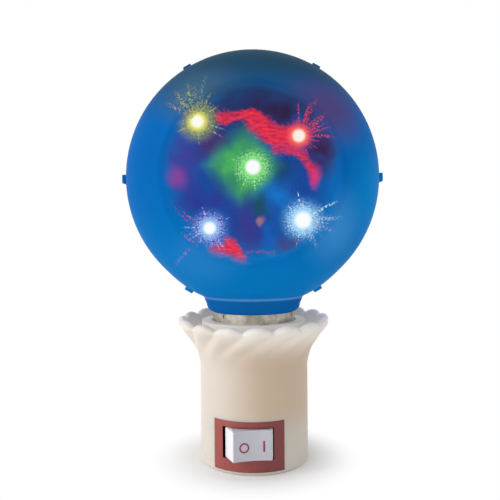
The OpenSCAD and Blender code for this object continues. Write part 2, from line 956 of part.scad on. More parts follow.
module globe_front() {
    catch_w = clip_slot[0] - 2 * snug;
    catch_l = clip_slot[1] - 2 * snug;
    color("dodgerblue", 0.6)
        rotate([0, 0, globe_turn]) {
            globe_half(-1);
            at_clips()
                translate([globe_r - globe_wall / 2, clip_slot_y - clip_slot[1] + snug, -catch_w / 2])
                    cube([globe_wall / 2 + clip_gap + catch_over, catch_l, catch_w]);
        }
}

module globe_rear() {
    color("dodgerblue", 0.6)
        rotate([0, 0, globe_turn]) {
            globe_half(1);
            at_clips()
                difference() {
                    union() {
                        translate([globe_r + clip_gap, -clip_reach, -clip_w / 2])
                            cube([clip_t, clip_reach + clip_root, clip_w]);
                        translate([globe_r - globe_wall / 2, snug, -clip_w / 2])
                            cube([globe_wall / 2 + clip_gap + clip_t / 2, clip_root - snug, clip_w]);
                    }
                    translate([globe_r, clip_slot_y - clip_slot[1], -clip_slot[0] / 2])
                        cube([clip_t + over, clip_slot[1], clip_slot[0]]);
                }
        }
}

module lamp_cap() {
    color("darkgray")
        difference() {
            union() {
                translate([0, 0, cap_shell_z])
                    cylinder(r = cap_r, h = cap_top - cap_shell_z);
                translate([0, 0, cap_top - rim_h])
                    cylinder(r = rim_d / 2, h = rim_h);
            }
            translate([0, 0, cap_shell_z - over])
                cylinder(r = cap_r - cap_wall, h = cap_len + 2 * over);
            for (a = [90, front])
                rotate([0, 0, a])
                    translate([0, 0, bayonet_z])
                        rotate([0, 90, 0])
                            cylinder(r = bayonet_r + bayonet_fit, h = cap_r + over);
            for (i = [0:crimp_count - 1])
                rotate([0, 0, (i + 0.5) * 360 / crimp_count])
                    translate([rim_d / 2 - crimp_depth, 0, cap_top - rim_h / 2])
                        rotate([0, 90, 0])
                            cylinder(r = crimp_r, h = over);
        }
}

module bayonet_pins() {
    inner = cap_r - cap_wall - bayonet_in;
    color("silver")
        for (a = [90, front])
            rotate([0, 0, a])
                translate([inner, 0, bayonet_z])
                    rotate([0, 90, 0])
                        cylinder(r = bayonet_r, h = bayonet_reach - inner);
}

module cap_insulator() {
    color("black")
        difference() {
            translate([0, 0, cap_shell_z])
                cylinder(r = cap_r - cap_wall - touch, h = insulator_h);
            for (s = [-1, 1])
                translate([s * contact_pitch / 2, 0, cap_shell_z - over])
                    cylinder(r = cap_contact_r + touch, h = insulator_h + 2 * over);
        }
}

module cap_contacts() {
    color("silver")
        for (s = [-1, 1])
            translate([s * contact_pitch / 2, 0, cap_z]) {
                translate([0, 0, cap_contact_cone])
                    cylinder(r = cap_contact_r, h = cap_contact_h - cap_contact_cone);
                cylinder(r1 = cap_contact_r - cap_contact_cone, r2 = cap_contact_r, h = cap_contact_cone);
            }
}

// Two leads from the contacts up to either face of the board's tongue
module cap_leads() {
    lead_off = (board_face + lead_r + lead_clear) / cos(globe_turn);
    foot_z = cap_z + cap_contact_h + lead_clear;
    along = contact_pitch / 2;
    color("firebrick")
        for (s = [-1, 1]) {
            beside = s * (along * tan(globe_turn) - lead_off);
            tube(smooth([
                [s * along, 0, foot_z],
                [s * along, 0, foot_z + lead_rise],
                [s * along, beside, tongue_z - lead_clear],
                [s * along, beside, tongue_z + 2 * lead_rise]]), lead_r, wire_sides, [1, 0, 0]);
        }
}

module led_board() {
    color("darkgreen")
        rotate([0, 0, globe_turn])
            difference() {
                union() {
                    translate([0, board_face, globe_z])
                        rotate([90, 0, 0])
                            cylinder(r = board_r, h = board_t);
                    translate([-tongue_w / 2, -board_face, tongue_z])
                        cube([tongue_w, board_t, globe_z - tongue_z]);
                }
                for (site = led_sites, s = [-1, 1])
                    translate([site[0] + s * led_lead_pitch / 2, board_face + over, globe_z + site[1]])
                        rotate([90, 0, 0])
                            cylinder(r = led_lead_r + snug, h = board_t + 2 * over);
            }
}

// A round LED on the board's front face at site, with its two leads through the board
module led(site) {
    rotate([0, 0, globe_turn])
        translate([site[0], -board_face, globe_z + site[1]])
            rotate([90, 0, 0]) {
                cylinder(r = led_flange_r, h = led_flange_h);
                cylinder(r = led_r, h = led_h - led_r);
                translate([0, 0, led_h - led_r])
                    sphere(r = led_r);
                for (s = [-1, 1])
                    translate([s * led_lead_pitch / 2, 0, -board_t - led_lead_tail])
                        cylinder(r = led_lead_r, h = board_t + led_lead_tail + over / 2);
            }
}

module led_yellow() {
    color("gold")
        led(yellow_at);
}

module led_red() {
    color("red")
        led(red_at);
}

module led_green() {
    color("lime")
        led(green_at);
}

module led_blue_left() {
    color("lightblue")
        led(blue_left_at);
}

module led_blue_right() {
    color("lightblue")
        led(blue_right_at);
}

module film_posts() {
    color("white")
        rotate([0, 0, globe_turn])
            translate([0, -board_face, globe_z])
                rotate([90, 0, 0])
                    for (i = [0:film_post_count - 1])
                        rotate([0, 0, i * 360 / film_post_count])
                            translate([post_circle_r, 0, 0])
                                cylinder(r = post_film_r, h = film_off);
}

module starburst_film() {
    color("plum", 0.5)
        rotate([0, 0, globe_turn])
            translate([0, -board_face - film_off, globe_z])
                rotate([90, 0, 0])
                    cylinder(r = film_r, h = film_t);
}

// Places what follows on the tongue: side -1 is the board's front face, z counts from the tongue's end
module on_tongue(side, z) {
    rotate([0, 0, globe_turn])
        translate([0, side * board_face, tongue_z + z])
            children();
}

module dropper_capacitor() {
    color("khaki")
        on_tongue(-1, dropper_up)
            translate([-dropper_w / 2, -dropper_d, 0])
                cube([dropper_w, dropper_d, dropper_h]);
}

module bridge_rectifier() {
    color("dimgray")
        on_tongue(1, rectifier_up)
            translate([-rectifier_w / 2, 0, 0])
                cube([rectifier_w, rectifier_d, rectifier_h]);
}

module smoothing_capacitor() {
    color("navy")
        on_tongue(1, smoothing_up)
            translate([0, smoothing_r + lay, 0])
                cylinder(r = smoothing_r, h = smoothing_h);
}

module fusible_resistor() {
    color("tan")
        on_tongue(-1, fusible_up)
            translate([-fusible_len / 2, -fusible_r - lay, 0])
                rotate([0, 90, 0])
                    cylinder(r = fusible_r, h = fusible_len);
}

module flasher_chip() {
    color("dimgray")
        rotate([0, 0, globe_turn])
            translate([-chip_w / 2, board_face, globe_z + chip_up])
                cube([chip_w, chip_d, chip_h]);
}

module led_resistors() {
    color("tan")
        rotate([0, 0, globe_turn])
            for (i = [0:resistor_count - 1])
                translate([(i - (resistor_count - 1) / 2) * resistor_pitch + resistor_shift,
                    board_face + resistor_r + lay, globe_z - resistor_drop])
                    cylinder(r = resistor_r, h = resistor_len);
}

casing();
bottom_cover();
cover_screws();
socket_barrel();
contact_sleeves();
plunger_springs();
plug_block();
plug_pin_left();
plug_pin_right();
switch_plate();
switch_housing();
supply_terminal();
load_terminal();
supply_wire();
switched_wire();
return_wire();
contact_plungers();
rocker();
rocker_plunger();
rocker_spring();
contact_bridge();
globe_front();
globe_rear();
lamp_cap();
bayonet_pins();
cap_insulator();
cap_contacts();
cap_leads();
led_board();
led_yellow();
led_red();
led_green();
led_blue_left();
led_blue_right();
film_posts();
starburst_film();
dropper_capacitor();
bridge_rectifier();
smoothing_capacitor();
fusible_resistor();
flasher_chip();
led_resistors();
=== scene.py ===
"""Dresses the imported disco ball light: casing, switch, ball bulb, small parts and a white studio."""

import math
from collections import namedtuple

import bmesh
import bpy
from bpy.props import FloatProperty, FloatVectorProperty, IntProperty, PointerProperty
from mathutils import Matrix, Vector


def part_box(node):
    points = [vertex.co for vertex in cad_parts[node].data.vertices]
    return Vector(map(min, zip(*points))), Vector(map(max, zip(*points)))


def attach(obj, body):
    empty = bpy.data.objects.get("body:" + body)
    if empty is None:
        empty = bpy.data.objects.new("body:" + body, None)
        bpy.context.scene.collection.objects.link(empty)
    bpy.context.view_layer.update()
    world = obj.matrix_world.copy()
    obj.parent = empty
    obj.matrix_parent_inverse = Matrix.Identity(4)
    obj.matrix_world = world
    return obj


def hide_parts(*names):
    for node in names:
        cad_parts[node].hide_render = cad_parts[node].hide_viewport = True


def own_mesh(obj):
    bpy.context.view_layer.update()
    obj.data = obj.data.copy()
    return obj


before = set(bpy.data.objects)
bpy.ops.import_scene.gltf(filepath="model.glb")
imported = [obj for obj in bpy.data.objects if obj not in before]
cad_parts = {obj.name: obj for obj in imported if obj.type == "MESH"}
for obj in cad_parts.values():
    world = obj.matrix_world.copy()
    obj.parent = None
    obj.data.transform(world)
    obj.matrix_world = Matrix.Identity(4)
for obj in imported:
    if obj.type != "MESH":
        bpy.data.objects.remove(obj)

bl_info = {
    "name": "Disco ball light",
    "version": (1, 0, 0),
    "blender": (4, 5, 0),
    "location": "3D View > Sidebar > Disco light",
    "description": "Builds the pieces, finishes and studio of a plug-in disco ball light on its CAD frame",
    "category": "Object",
}

MM = 0.001
# Direction of the front, as an angle from the X axis
FRONT = math.radians(270)
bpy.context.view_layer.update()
# Distances in metres: points this near are merged, and points this near count as one while cutting
MERGE, SAME = 2e-6, 1e-7
# Inputs of a Mix node for colours: the share, the colour below and the colour laid over it
SHARE, BELOW, OVER = 0, 6, 7


def linear(colour):
    """Linear RGBA of an sRGB hex colour."""
    parts = [int(colour[i:i + 2], 16) / 255 for i in (1, 3, 5)]
    return [c / 12.92 if c <= 0.04045 else ((c + 0.055) / 1.055) ** 2.4 for c in parts] + [1.0]


def millimetres(node):
    """Lowest and highest corner of a CAD node in millimetres."""
    return [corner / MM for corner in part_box(node)]


def middle_height(node):
    """Height of a CAD node's middle in millimetres."""
    low, high = millimetres(node)
    return (low.z + high.z) / 2


CASING_HIGH = millimetres("casing")[1]
CAP_TOP = millimetres("lamp_cap")[1].z
PLATE_LOW, PLATE_HIGH = millimetres("switch_plate")
ROCKER_Z = middle_height("rocker")
# The film stands across the middle of the ball
BALL_Z = middle_height("starburst_film")


def length_property(name, description, default):
    """A length in millimetres for a settings group."""
    return FloatProperty(name=name, description=description + ", in millimetres", default=default)


def angle_property(name, description, degrees):
    """An angle for a settings group, from its value in degrees."""
    return FloatProperty(name=name, description=description, default=math.radians(degrees),
                         subtype="ANGLE", unit="ROTATION")


def power_property(name, description, default):
    """A lamp's power in watts for a settings group."""
    return FloatProperty(name=name, description=description, default=default, unit="POWER")


def colour_property(name, description, default):
    """A colour for a settings group, from its sRGB hex value."""
    return FloatVectorProperty(name=name, description=description, default=linear(default), size=4,
                               subtype="COLOR", min=0, max=1)


class CasingSettings(bpy.types.PropertyGroup):
    """Sizes and colours of the lamp holder's casing"""
    tube_r: length_property("Tube radius", "Outer radius of the tube", 15.0)
    tube_in: length_property("Tube bore", "Inner radius of the tube", 13.6)
    flare_z: length_property("Flare", "Height at which the tube starts to flare", 26.0)
    petal_r: length_property("Collar radius", "Outer radius of the petal collar", CASING_HIGH.x)
    petal_top: length_property("Collar height", "Height of the petals' crests", CASING_HIGH.z)
    petal_t: length_property("Lip", "Thickness of the petals' lip", 2.8)
    petal_drop: length_property("Valley", "How far the lip drops between two petals", 1.35)
    front_dip: length_property("Front dip", "How much lower the petals are in front than at the back", 1.4)
    flute_in: length_property("Flute", "Depth of the flutes between the petals", 1.0)
    petals: IntProperty(name="Petals", description="Number of petals", default=16, min=8, max=24)
    lean: angle_property("Lean", "How far the flutes lean over from top to bottom", 42)
    turn: angle_property("Turn", "Turn of the petals from the front", -1.5)
    cream: colour_property("Cream", "Milky plastic of the casing", "#ecdfd1")
    tan: colour_property("Tan", "Warmer tone where the socket shows through", "#dfc8b0")


class SwitchSettings(bpy.types.PropertyGroup):
    """Sizes and colours of the switch"""
    plate_r: length_property("Plate radius", "Outer radius of the curved plate", 14.85)
    plate_t: length_property("Plate thickness", "Thickness of the curved plate", 1.4)
    plate_half: angle_property("Plate half angle", "Half of the angle that the plate covers", 38.2)
    opening_w: length_property("Opening width", "Width of the rocker's opening", 13.55)
    opening_left: length_property("Opening shift", "How far left of the middle the opening lies", 0.1)
    opening_h: length_property("Opening height", "Height of the rocker's opening", 8.3)
    rocker_tilt: angle_property("Rocker tilt", "Tilt of the rocker at rest", 16)
    pivot_r: length_property("Pivot radius", "Distance of the rocker's pivot from the tube's axis", 11.2)
    brick: colour_property("Brick red", "Plastic of the switch plate", "#ac524b")
    white: colour_property("White", "Plastic of the rocker", "#d2d2da")
    ink: colour_property("Ink", "Ink of the O and I marks", "#a8164e")


class BulbSettings(bpy.types.PropertyGroup):
    """Sizes and colours of the ball bulb"""
    ball_r: length_property("Ball radius", "Outer radius of the ball", 35.0)
    wall: length_property("Wall", "Wall of the ball", 1.6)
    neck_r: length_property("Neck radius", "Radius of the neck where it meets the ball", 13.7)
    neck_foot_r: length_property("Neck foot", "Radius of the neck at its foot", 13.1)
    turn: angle_property("Turn", "Turn of the ball's seam from the holder's front", 7)
    sag: length_property("Sag", "How far the ball's underside is drawn down to the neck", 0.65)
    push: length_property("Push", "How far the bulb pushes the plungers down", 2.0)
    clips: IntProperty(name="Clips", description="Number of snap clips round the seam", default=6,
                       min=3, max=12)
    blue: colour_property("Blue", "Plastic of the ball", "#0562ae")
    # The lower blue and the top blue are painted light and shade: brighter low down and darker at the top
    blue_low: colour_property("Lower blue", "Plastic of the ball's lower part", "#0576bc")
    blue_top: colour_property("Top blue", "Darker top of the ball", "#22465e")


class StageSettings(bpy.types.PropertyGroup):
    """Light and camera of the studio"""
    key_power: power_property("Key lamp", "Power of the key lamp", 1.85)
    fill_power: power_property("Fill lamp", "Power of the fill lamp", 0.44)
    low_power: power_property("Low lamp", "Power of the lamp near the floor", 0.4)
    sky: FloatProperty(name="Sky", description="Strength of the even light from all round", default=0.46)
    camera_distance: length_property("Camera distance", "Distance of the camera from the axis", 170.5)
    camera_height: length_property("Camera height", "Height of the camera", 62.0)
    camera_left: length_property("Camera shift", "How far the camera stands to its left", 0.82)
    azimuth: angle_property("Azimuth", "Angle of the camera round the object", 7)
    roll: angle_property("Roll", "Roll of the camera", 0.46)
    lens: FloatProperty(name="Lens", description="Focal length in picture widths", default=1.208)
    lens_shift: FloatProperty(name="Lens shift", description="Upward shift of the lens in picture widths",
                              default=-0.0278)


def smooth_step(x, low, high):
    """0 below low, 1 above high and a smooth rise between them."""
    t = min(max((x - low) / (high - low), 0), 1)
    return t * t * (3 - 2 * t)


def bend(shares, start, corner, end):
    """Points at the given shares of a curve from start to end that bends towards the corner."""
    return [tuple((1 - q) ** 2 * a + 2 * q * (1 - q) * b + q * q * c for a, b, c in zip(start, corner, end))
            for q in shares]


def join_rings(bm, rings):
    """Adds the faces between each closed ring of vertices and the next."""
    for low, high in zip(rings, rings[1:]):
        for face in zip(low, low[1:] + low[:1], high[1:] + high[:1], high):
            bm.faces.new(face)


def turn_profile(bm, profile, steps, start=0, angle=2 * math.pi):
    """Turns a closed profile of radii and heights in millimetres round the Z axis.

    A part turn gets ends: rows of faces between the profile's first half and its second half.
    """
    # The turning and thickening operators of bmesh give another order of faces in each run
    whole = angle >= 2 * math.pi
    turns = [start + angle * i / steps for i in range(steps if whole else steps + 1)]
    rings = [[bm.verts.new(Vector((r * math.cos(a), r * math.sin(a), z)) * MM) for r, z in profile]
             for a in turns]
    join_rings(bm, rings + rings[:1] if whole else rings)
    if not whole:
        half = len(profile) // 2
        for ring in (rings[0], rings[-1]):
            near, far = ring[:half], ring[:half - 1:-1]
            for face in zip(near, near[1:], far[1:], far):
                bm.faces.new(face)


def added(bm, before):
    """The vertices that bm has and before hasn't."""
    return [v for v in bm.verts if v not in before]


def cut_away(bm, faces, planes, inside):
    """Cuts the faces along the planes and removes what lies inside."""
    # A dict keeps the order, so that every run gives the same mesh
    verts = dict.fromkeys(v for f in faces for v in f.verts)
    edges = dict.fromkeys(e for f in faces for e in f.edges)
    geom = [*verts, *edges, *faces]
    for place, normal in planes:
        geom = bmesh.ops.bisect_plane(bm, geom=geom, plane_co=place, plane_no=normal, dist=SAME)["geom"]
    gone = [f for f in bm.faces if inside(f.calc_center_median())]
    if not gone:
        raise RuntimeError("The cut found no faces")
    bmesh.ops.delete(bm, geom=gone, context="FACES")


def round_edges(bm, offset, least, segments=3):
    """Bevels the edges that bend by more than least."""
    edges = [e for e in bm.edges if e.is_manifold and e.calc_face_angle(0) > least]
    bmesh.ops.bevel(bm, geom=edges, offset=offset * MM, offset_type="OFFSET", segments=segments,
                    profile=0.5, affect="EDGES", material=-1, clamp_overlap=True)


def finish_piece(name, bm, material, body, nodes=(), crease=40):
    """Turns bm into an object that rides on body and stands for the CAD nodes."""
    bmesh.ops.remove_doubles(bm, verts=bm.verts, dist=MERGE)
    bmesh.ops.recalc_face_normals(bm, faces=bm.faces)
    mesh = bpy.data.meshes.new(name)
    bm.to_mesh(mesh)
    bm.free()
    mesh.shade_smooth()
    mesh.set_sharp_from_angle(angle=math.radians(crease))
    mesh.materials.append(material)
    piece = bpy.data.objects.new(name, mesh)
    bpy.context.scene.collection.objects.link(piece)
    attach(piece, body)
    if nodes:
        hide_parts(*nodes)
    return piece


def softened_copy(node, material, body, offset):
    """A merged copy of a CAD node's mesh in place of the node, with its sharp edges rounded by offset."""
    bm = bmesh.new()
    bm.from_mesh(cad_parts[node].data)
    bmesh.ops.remove_doubles(bm, verts=bm.verts, dist=MERGE)
    if offset:
        bmesh.ops.dissolve_limit(bm, angle_limit=math.radians(2), verts=bm.verts, edges=bm.edges)
        round_edges(bm, offset, math.radians(35))
    return finish_piece(node + "_moulding", bm, material, body, [node], 35)


def dress(node, material):
    """Gives a CAD node that keeps its shape a material."""
    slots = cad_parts[node].data.materials
    slots.clear()
    slots.append(material)


def feed(tree, node, inputs):
    """Links or sets a node's inputs. A node as the source of a link stands for its first live output."""
    for name, source in inputs.items():
        if isinstance(source, bpy.types.Node):
            source = next(output for output in source.outputs if output.enabled)
        if isinstance(source, bpy.types.NodeSocket):
            tree.links.new(source, node.inputs[name])
        else:
            node.inputs[name].default_value = source


def add(tree, kind, inputs=None, **settings):
    """Adds a shader node with its settings, input values and links."""
    new = tree.nodes.new("ShaderNode" + kind)
    for name, value in settings.items():
        setattr(new, name, value)
    feed(tree, new, inputs or {})
    return new


def new_material(name):
    """A new material with its tree, its main shader and the piece's own coordinates."""
    made = bpy.data.materials.new(name)
    made.use_nodes = True
    tree = made.node_tree
    return made, tree, tree.nodes["Principled BSDF"], add(tree, "TexCoord").outputs["Object"]


def soft_spot(tree, place, centre, half, turn, near, far, strength=1):
    """Strength in the middle of an ellipsoid of half sizes, falling to 0 between two shares of its size."""
    local = add(tree, "Mapping", {"Vector": place, "Location": centre, "Scale": half,
                                  "Rotation": (0, 0, math.radians(turn))}, vector_type="TEXTURE")
    out = add(tree, "VectorMath", {0: local}, operation="LENGTH")
    return add(tree, "MapRange", {"Value": out, "From Min": near, "From Max": far, "To Min": strength,
                                  "To Max": 0}, interpolation_type="SMOOTHSTEP")


def mottled(name, light, dark, size, roughness, metallic=0, grain=0.3, height=0.02, more=None):
    """A moulded, rolled or cast surface: two tones in patches and a fine grain, sized in millimetres."""
    made, tree, shader, place = new_material(name)
    gloss_spread = 0.06
    patches = add(tree, "TexNoise", {"Vector": place, "Scale": 1 / (size * MM), "Detail": 3})
    tones = add(tree, "Mix", {SHARE: patches, BELOW: dark, OVER: light}, data_type="RGBA")
    fine = add(tree, "TexNoise", {"Vector": place, "Scale": 1 / (grain * MM), "Detail": 2})
    gloss = add(tree, "MapRange", {"Value": patches, "To Min": roughness - gloss_spread,
                                   "To Max": roughness + gloss_spread})
    bump = add(tree, "Bump", {"Height": fine, "Strength": 0.35, "Distance": height * MM})
    feed(tree, shader, {"Base Color": tones, "Roughness": gloss, "Metallic": metallic, "Normal": bump,
                        **(more or {})})
    return made


def repainted(made, paint, place, low, high):
    """Mixes paint into a finished material from low to high along the X axis of place."""
    tree, shader = made.node_tree, made.node_tree.nodes["Principled BSDF"]
    across = add(tree, "SeparateXYZ", {"Vector": place}).outputs["X"]
    share = add(tree, "MapRange", {"Value": across, "From Min": low, "From Max": high},
                interpolation_type="SMOOTHSTEP")
    first = shader.inputs["Base Color"].links[0].from_socket
    mixed = add(tree, "Mix", {SHARE: share, BELOW: first, OVER: paint}, data_type="RGBA")
    feed(tree, shader, {"Base Color": mixed})
    return made


def milky_polypropylene(settings):
    """Milky moulded polypropylene: satin, soft at its edges, warmer where the socket shows through, and with
    painted light on the collar: paler up to the petals and lighter towards the right, with a painted glow.
    """
    made, tree, shader, place = new_material("milky_polypropylene")
    cloud_size, grain_size, scatter = 9 * MM, 0.5 * MM, 4 * MM
    collar_low, collar_high = 29 * MM, 36 * MM
    left, right = -1 * MM, 11 * MM
    socket_z, socket_half = 22.5 * MM, 15 * MM
    clouds = add(tree, "TexNoise", {"Vector": place, "Scale": 1 / cloud_size, "Detail": 2})
    tones = add(tree, "Mix", {SHARE: clouds, BELOW: linear("#e2d4c8"), OVER: settings.cream},
                data_type="RGBA")
    # Painted light: the collar is painted paler from its foot up to the petals, against the shade that the
    # ball casts on it, and lighter towards the right
    turned = add(tree, "Mapping", {"Vector": place, "Rotation": (0, 0, math.radians(28))})
    axes = add(tree, "SeparateXYZ", {"Vector": turned}).outputs
    collar_painted_light = add(tree, "MapRange", {"Value": axes["Z"], "From Min": collar_low, "From Max": collar_high},
                 interpolation_type="SMOOTHSTEP")
    side = add(tree, "MapRange", {"Value": axes["X"], "From Min": left, "From Max": right},
               interpolation_type="SMOOTHSTEP")
    petals = add(tree, "Mix", {SHARE: side, BELOW: linear("#e2d8cb"), OVER: linear("#f6ecdf")},
                 data_type="RGBA")
    pale = add(tree, "Mix", {SHARE: collar_painted_light, BELOW: tones, OVER: petals}, data_type="RGBA")
    band = soft_spot(tree, place, (0, 0, socket_z), (1, 1, socket_half), 0, 0.3, 1)
    warm = add(tree, "Math", {0: side, 1: band}, operation="MULTIPLY")
    paint = add(tree, "Mix", {SHARE: warm, BELOW: pale, OVER: settings.tan}, data_type="RGBA")
    grain = add(tree, "TexNoise", {"Vector": place, "Scale": 1 / grain_size, "Detail": 2})
    bump = add(tree, "Bump", {"Height": grain, "Strength": 0.2, "Distance": 0.02 * MM})
    gloss = add(tree, "MapRange", {"Value": clouds, "To Min": 0.42, "To Max": 0.56})
    # A painted glow in the collar, standing in for light from the bulb that spreads in it
    lit = add(tree, "Mix", {SHARE: collar_painted_light, BELOW: linear("#000000"), OVER: linear("#fff0e2")},
              data_type="RGBA")
    feed(tree, shader, {"Base Color": paint, "Roughness": gloss, "Normal": bump, "IOR": 1.49,
                        "Specular IOR Level": 0.3, "Subsurface Weight": 0.6, "Subsurface Scale": scatter,
                        "Subsurface Radius": (1, 0.85, 0.7), "Emission Color": lit,
                        "Emission Strength": 0.1})
    return made


def brick_abs(settings):
    """Brick red ABS from a spark-eroded mould: matt, fine-grained, darker in patches, and with painted shade
    towards the right.
    """
    made = mottled("brick_red_abs", settings.brick, linear("#98453f"), 4, 0.5, grain=0.25, height=0.03)
    place = add(made.node_tree, "TexCoord").outputs["Object"]
    # Painted shade: the plate darkens towards the right
    return repainted(made, linear("#843a3a"), place, -7 * MM, 8 * MM)


def white_abs(settings):
    """Glossy white ABS from a polished mould, with painted light: the ends are painted whiter than the
    greyer face.
    """
    made = mottled("gloss_white_abs", settings.white, linear("#c8c8d0"), 5, 0.3, grain=0.6, height=0.01)
    tree = made.node_tree
    # Millimetres from the rocker's pivot, alike on both sides of it
    local = add(tree, "Mapping", {"Vector": add(tree, "TexCoord").outputs["Object"], "Scale": (MM, MM, MM),
                                  "Location": (0, -settings.pivot_r * MM, 0),
                                  "Rotation": (0, 0, settings.rocker_tilt)}, vector_type="TEXTURE")
    both = add(tree, "VectorMath", {0: local}, operation="ABSOLUTE")
    # Painted light: the rocker's ends, past its face, are painted whiter
    face_end, ends_from = 4.9, 5.2
    return repainted(made, linear("#fafafc"), both, face_end, ends_from)


def ball_coordinates(tree, place, turn, rise=0):
    """Millimetres across, along and above the ball's middle, or a point over it, turned to its seam."""
    return add(tree, "Mapping", {"Vector": place, "Location": (0, 0, -BALL_Z - rise),
                                 "Rotation": (0, 0, -turn), "Scale": (1 / MM, 1 / MM, 1 / MM)})


# Painted light and shade on the ball's wall, where light spreads inside it: middle and half sizes in the
# frame of its seam, colour and strength
PAINTED_WALL_LIGHT = (
    ((18.4, -26, 14.5), (14, 18, 11), "#50447e", 0.95),
    ((-13.3, -26, 18.5), (13, 18, 10), "#44627a", 0.8),
    ((20.4, -24, -14.3), (10, 14, 12), "#3f8fd0", 0.7),
    ((-12.2, -23, -21.4), (11, 14, 9), "#2b7fc4", 0.6),
    ((31.0, -14, -5.0), (12, 26, 15), "#0583c8", 0.75),
)
# The neck's painted light and shade: heights of the painted highlight on its upper edge and of the painted
# shade below, over the cap's top
NECK_EDGE, NECK_DARK, NECK_BLUE = 4.25, 3.4, 4.4
# A half size that reaches right across the ball, for a spot that is bounded in the other directions only
ACROSS = 900


def ball_blue(tree, settings, place):
    """Blue of the ball with painted light and shade: brighter low down, dull and dark at the top, soft tints
    where light spreads, a darker neck and a paler neck edge.
    """
    bright_z, blue_z = -32, 4
    dull_from, dull_to = 10, 28.5
    back_y, front_y = 8, -16
    axes = add(tree, "SeparateXYZ", {"Vector": place}).outputs
    # Painted light and shade: brighter low down, and dull and dark at the top, most of all in front
    low = add(tree, "MapRange", {"Value": axes["Z"], "From Min": bright_z, "From Max": blue_z},
              interpolation_type="SMOOTHSTEP")
    blues = add(tree, "Mix", {SHARE: low, BELOW: settings.blue_low, OVER: settings.blue}, data_type="RGBA")
    high = add(tree, "MapRange", {"Value": axes["Z"], "From Min": dull_from, "From Max": dull_to},
               interpolation_type="SMOOTHSTEP")
    front = add(tree, "MapRange", {"Value": axes["Y"], "From Min": back_y, "From Max": front_y,
                                   "To Min": 0.35, "To Max": 1}, interpolation_type="SMOOTHSTEP")
    unlit = add(tree, "Math", {0: high, 1: front}, operation="MULTIPLY")
    blue_with_painted_light = add(tree, "Mix", {SHARE: unlit, BELOW: blues, OVER: settings.blue_top}, data_type="RGBA")
    for centre, half, paint, strength in PAINTED_WALL_LIGHT:
        spot = soft_spot(tree, place, centre, half, 0, 0.1, 1.15, strength)
        blue_with_painted_light = add(tree, "Mix", {SHARE: spot, BELOW: blue_with_painted_light, OVER: linear(paint)}, data_type="RGBA")
    # The neck is painted darker, as shade under the ball, and its upper edge a little paler, as a painted
    # highlight
    cap_top = CAP_TOP - BALL_Z
    neck = add(tree, "MapRange", {"Value": axes["Z"], "From Min": cap_top + NECK_DARK,
                                  "From Max": cap_top + NECK_BLUE, "To Min": 0.75, "To Max": 0})
    rim = soft_spot(tree, place, (0, 0, cap_top + NECK_EDGE), (ACROSS, ACROSS, 0.5), 0, 0.3, 1)
    dark = add(tree, "Mix", {SHARE: neck, BELOW: blue_with_painted_light, OVER: linear("#0f5298")}, data_type="RGBA")
    return add(tree, "Mix", {SHARE: rim, BELOW: dark, OVER: linear("#5588c6")}, data_type="RGBA")


# Dotted rays of the LEDs' light, painted on the ball's wall: a start, then each ray's end, half width,
# colour and strength
RAYS = (
    ((-12.8, -30.9, 10.5), (
        ((-16.5, -23.0, 20.0), 4.4, "#8c9c58", 0.6),
        ((-21.3, -22.1, 16.8), 0.65, "#c49a54", 0.9),
        ((-19.0, -21.9, 19.6), 0.65, "#b4a458", 0.9),
        ((-15.9, -22.5, 21.5), 0.65, "#9cac60", 0.9),
        ((-11.0, -23.4, 23.6), 0.65, "#6a9c90", 0.8),
        ((-8.2, -30.6, 14.8), 0.6, "#a0b060", 0.9),
        ((-17.9, -28.1, 10.8), 0.6, "#d0a848", 0.9),
    )),
    ((10.5, -32.7, 6.7), (
        ((15.4, -26.5, 16.9), 0.6, "#f04058", 0.9),
        ((17.8, -27.0, 13.4), 0.6, "#e84868", 0.9),
        ((18.0, -28.5, 9.3), 0.6, "#e84868", 0.8),
    )),
    ((11.4, -30.6, -12.5), (
        ((21.2, -25.2, -11.8), 0.65, "#b0c8e0", 0.9),
        ((19.4, -25.0, -15.0), 0.65, "#c8b8d8", 0.9),
        ((15.3, -25.1, -19.0), 0.65, "#a8c8d8", 0.9),
        ((17.8, -28.8, -8.8), 0.6, "#b8d8f0", 0.8),
    )),
    ((-12.6, -29.0, -15.6), (((-18.9, -28.1, -8.7), 0.6, "#b8488c", 0.9),)),
    ((-13.6, -27.0, -17.2), (((-20.0, -16.6, -23.4), 0.55, "#a070c0", 0.75),)),
    ((-11.2, -26.8, -19.8), (((-17.2, -26.5, -15.2), 0.6, "#c45088", 0.9),)),
)
# Millimetres from its start at which a ray begins and is full, and the shares of its length at which it
# fades and is gone
RAY_FROM, RAY_FULL = 2.9, 3.9
RAY_FADES, RAY_GONE = 0.6, 1.1


def wall_ray(tree, place, start, end, half, strength):
    """Strength along a ray on the ball's wall, from near start, and 0 beside it and past its end."""
    start, end = Vector(start), Vector(end)
    length = (end - start).length
    along = (end - start) / length ** 2
    first = start.dot(along)
    beside = add(tree, "VectorMath", {0: place, 1: start.cross(end).normalized()}, operation="DOT_PRODUCT")
    off = add(tree, "Math", {0: beside}, operation="ABSOLUTE")
    narrow = add(tree, "MapRange", {"Value": off, "From Min": 0.35 * half, "From Max": half,
                                    "To Min": strength, "To Max": 0}, interpolation_type="SMOOTHSTEP")
    share = add(tree, "VectorMath", {0: place, 1: along}, operation="DOT_PRODUCT")
    begun = add(tree, "MapRange", {"Value": share, "From Min": first + RAY_FROM / length,
                                   "From Max": first + RAY_FULL / length}, interpolation_type="SMOOTHSTEP")
    ended = add(tree, "MapRange", {"Value": share, "From Min": first + RAY_FADES,
                                   "From Max": first + RAY_GONE, "To Min": 1, "To Max": 0},
                interpolation_type="SMOOTHSTEP")
    lasting = add(tree, "Math", {0: begun, 1: ended}, operation="MULTIPLY")
    return add(tree, "Math", {0: narrow, 1: lasting}, operation="MULTIPLY")


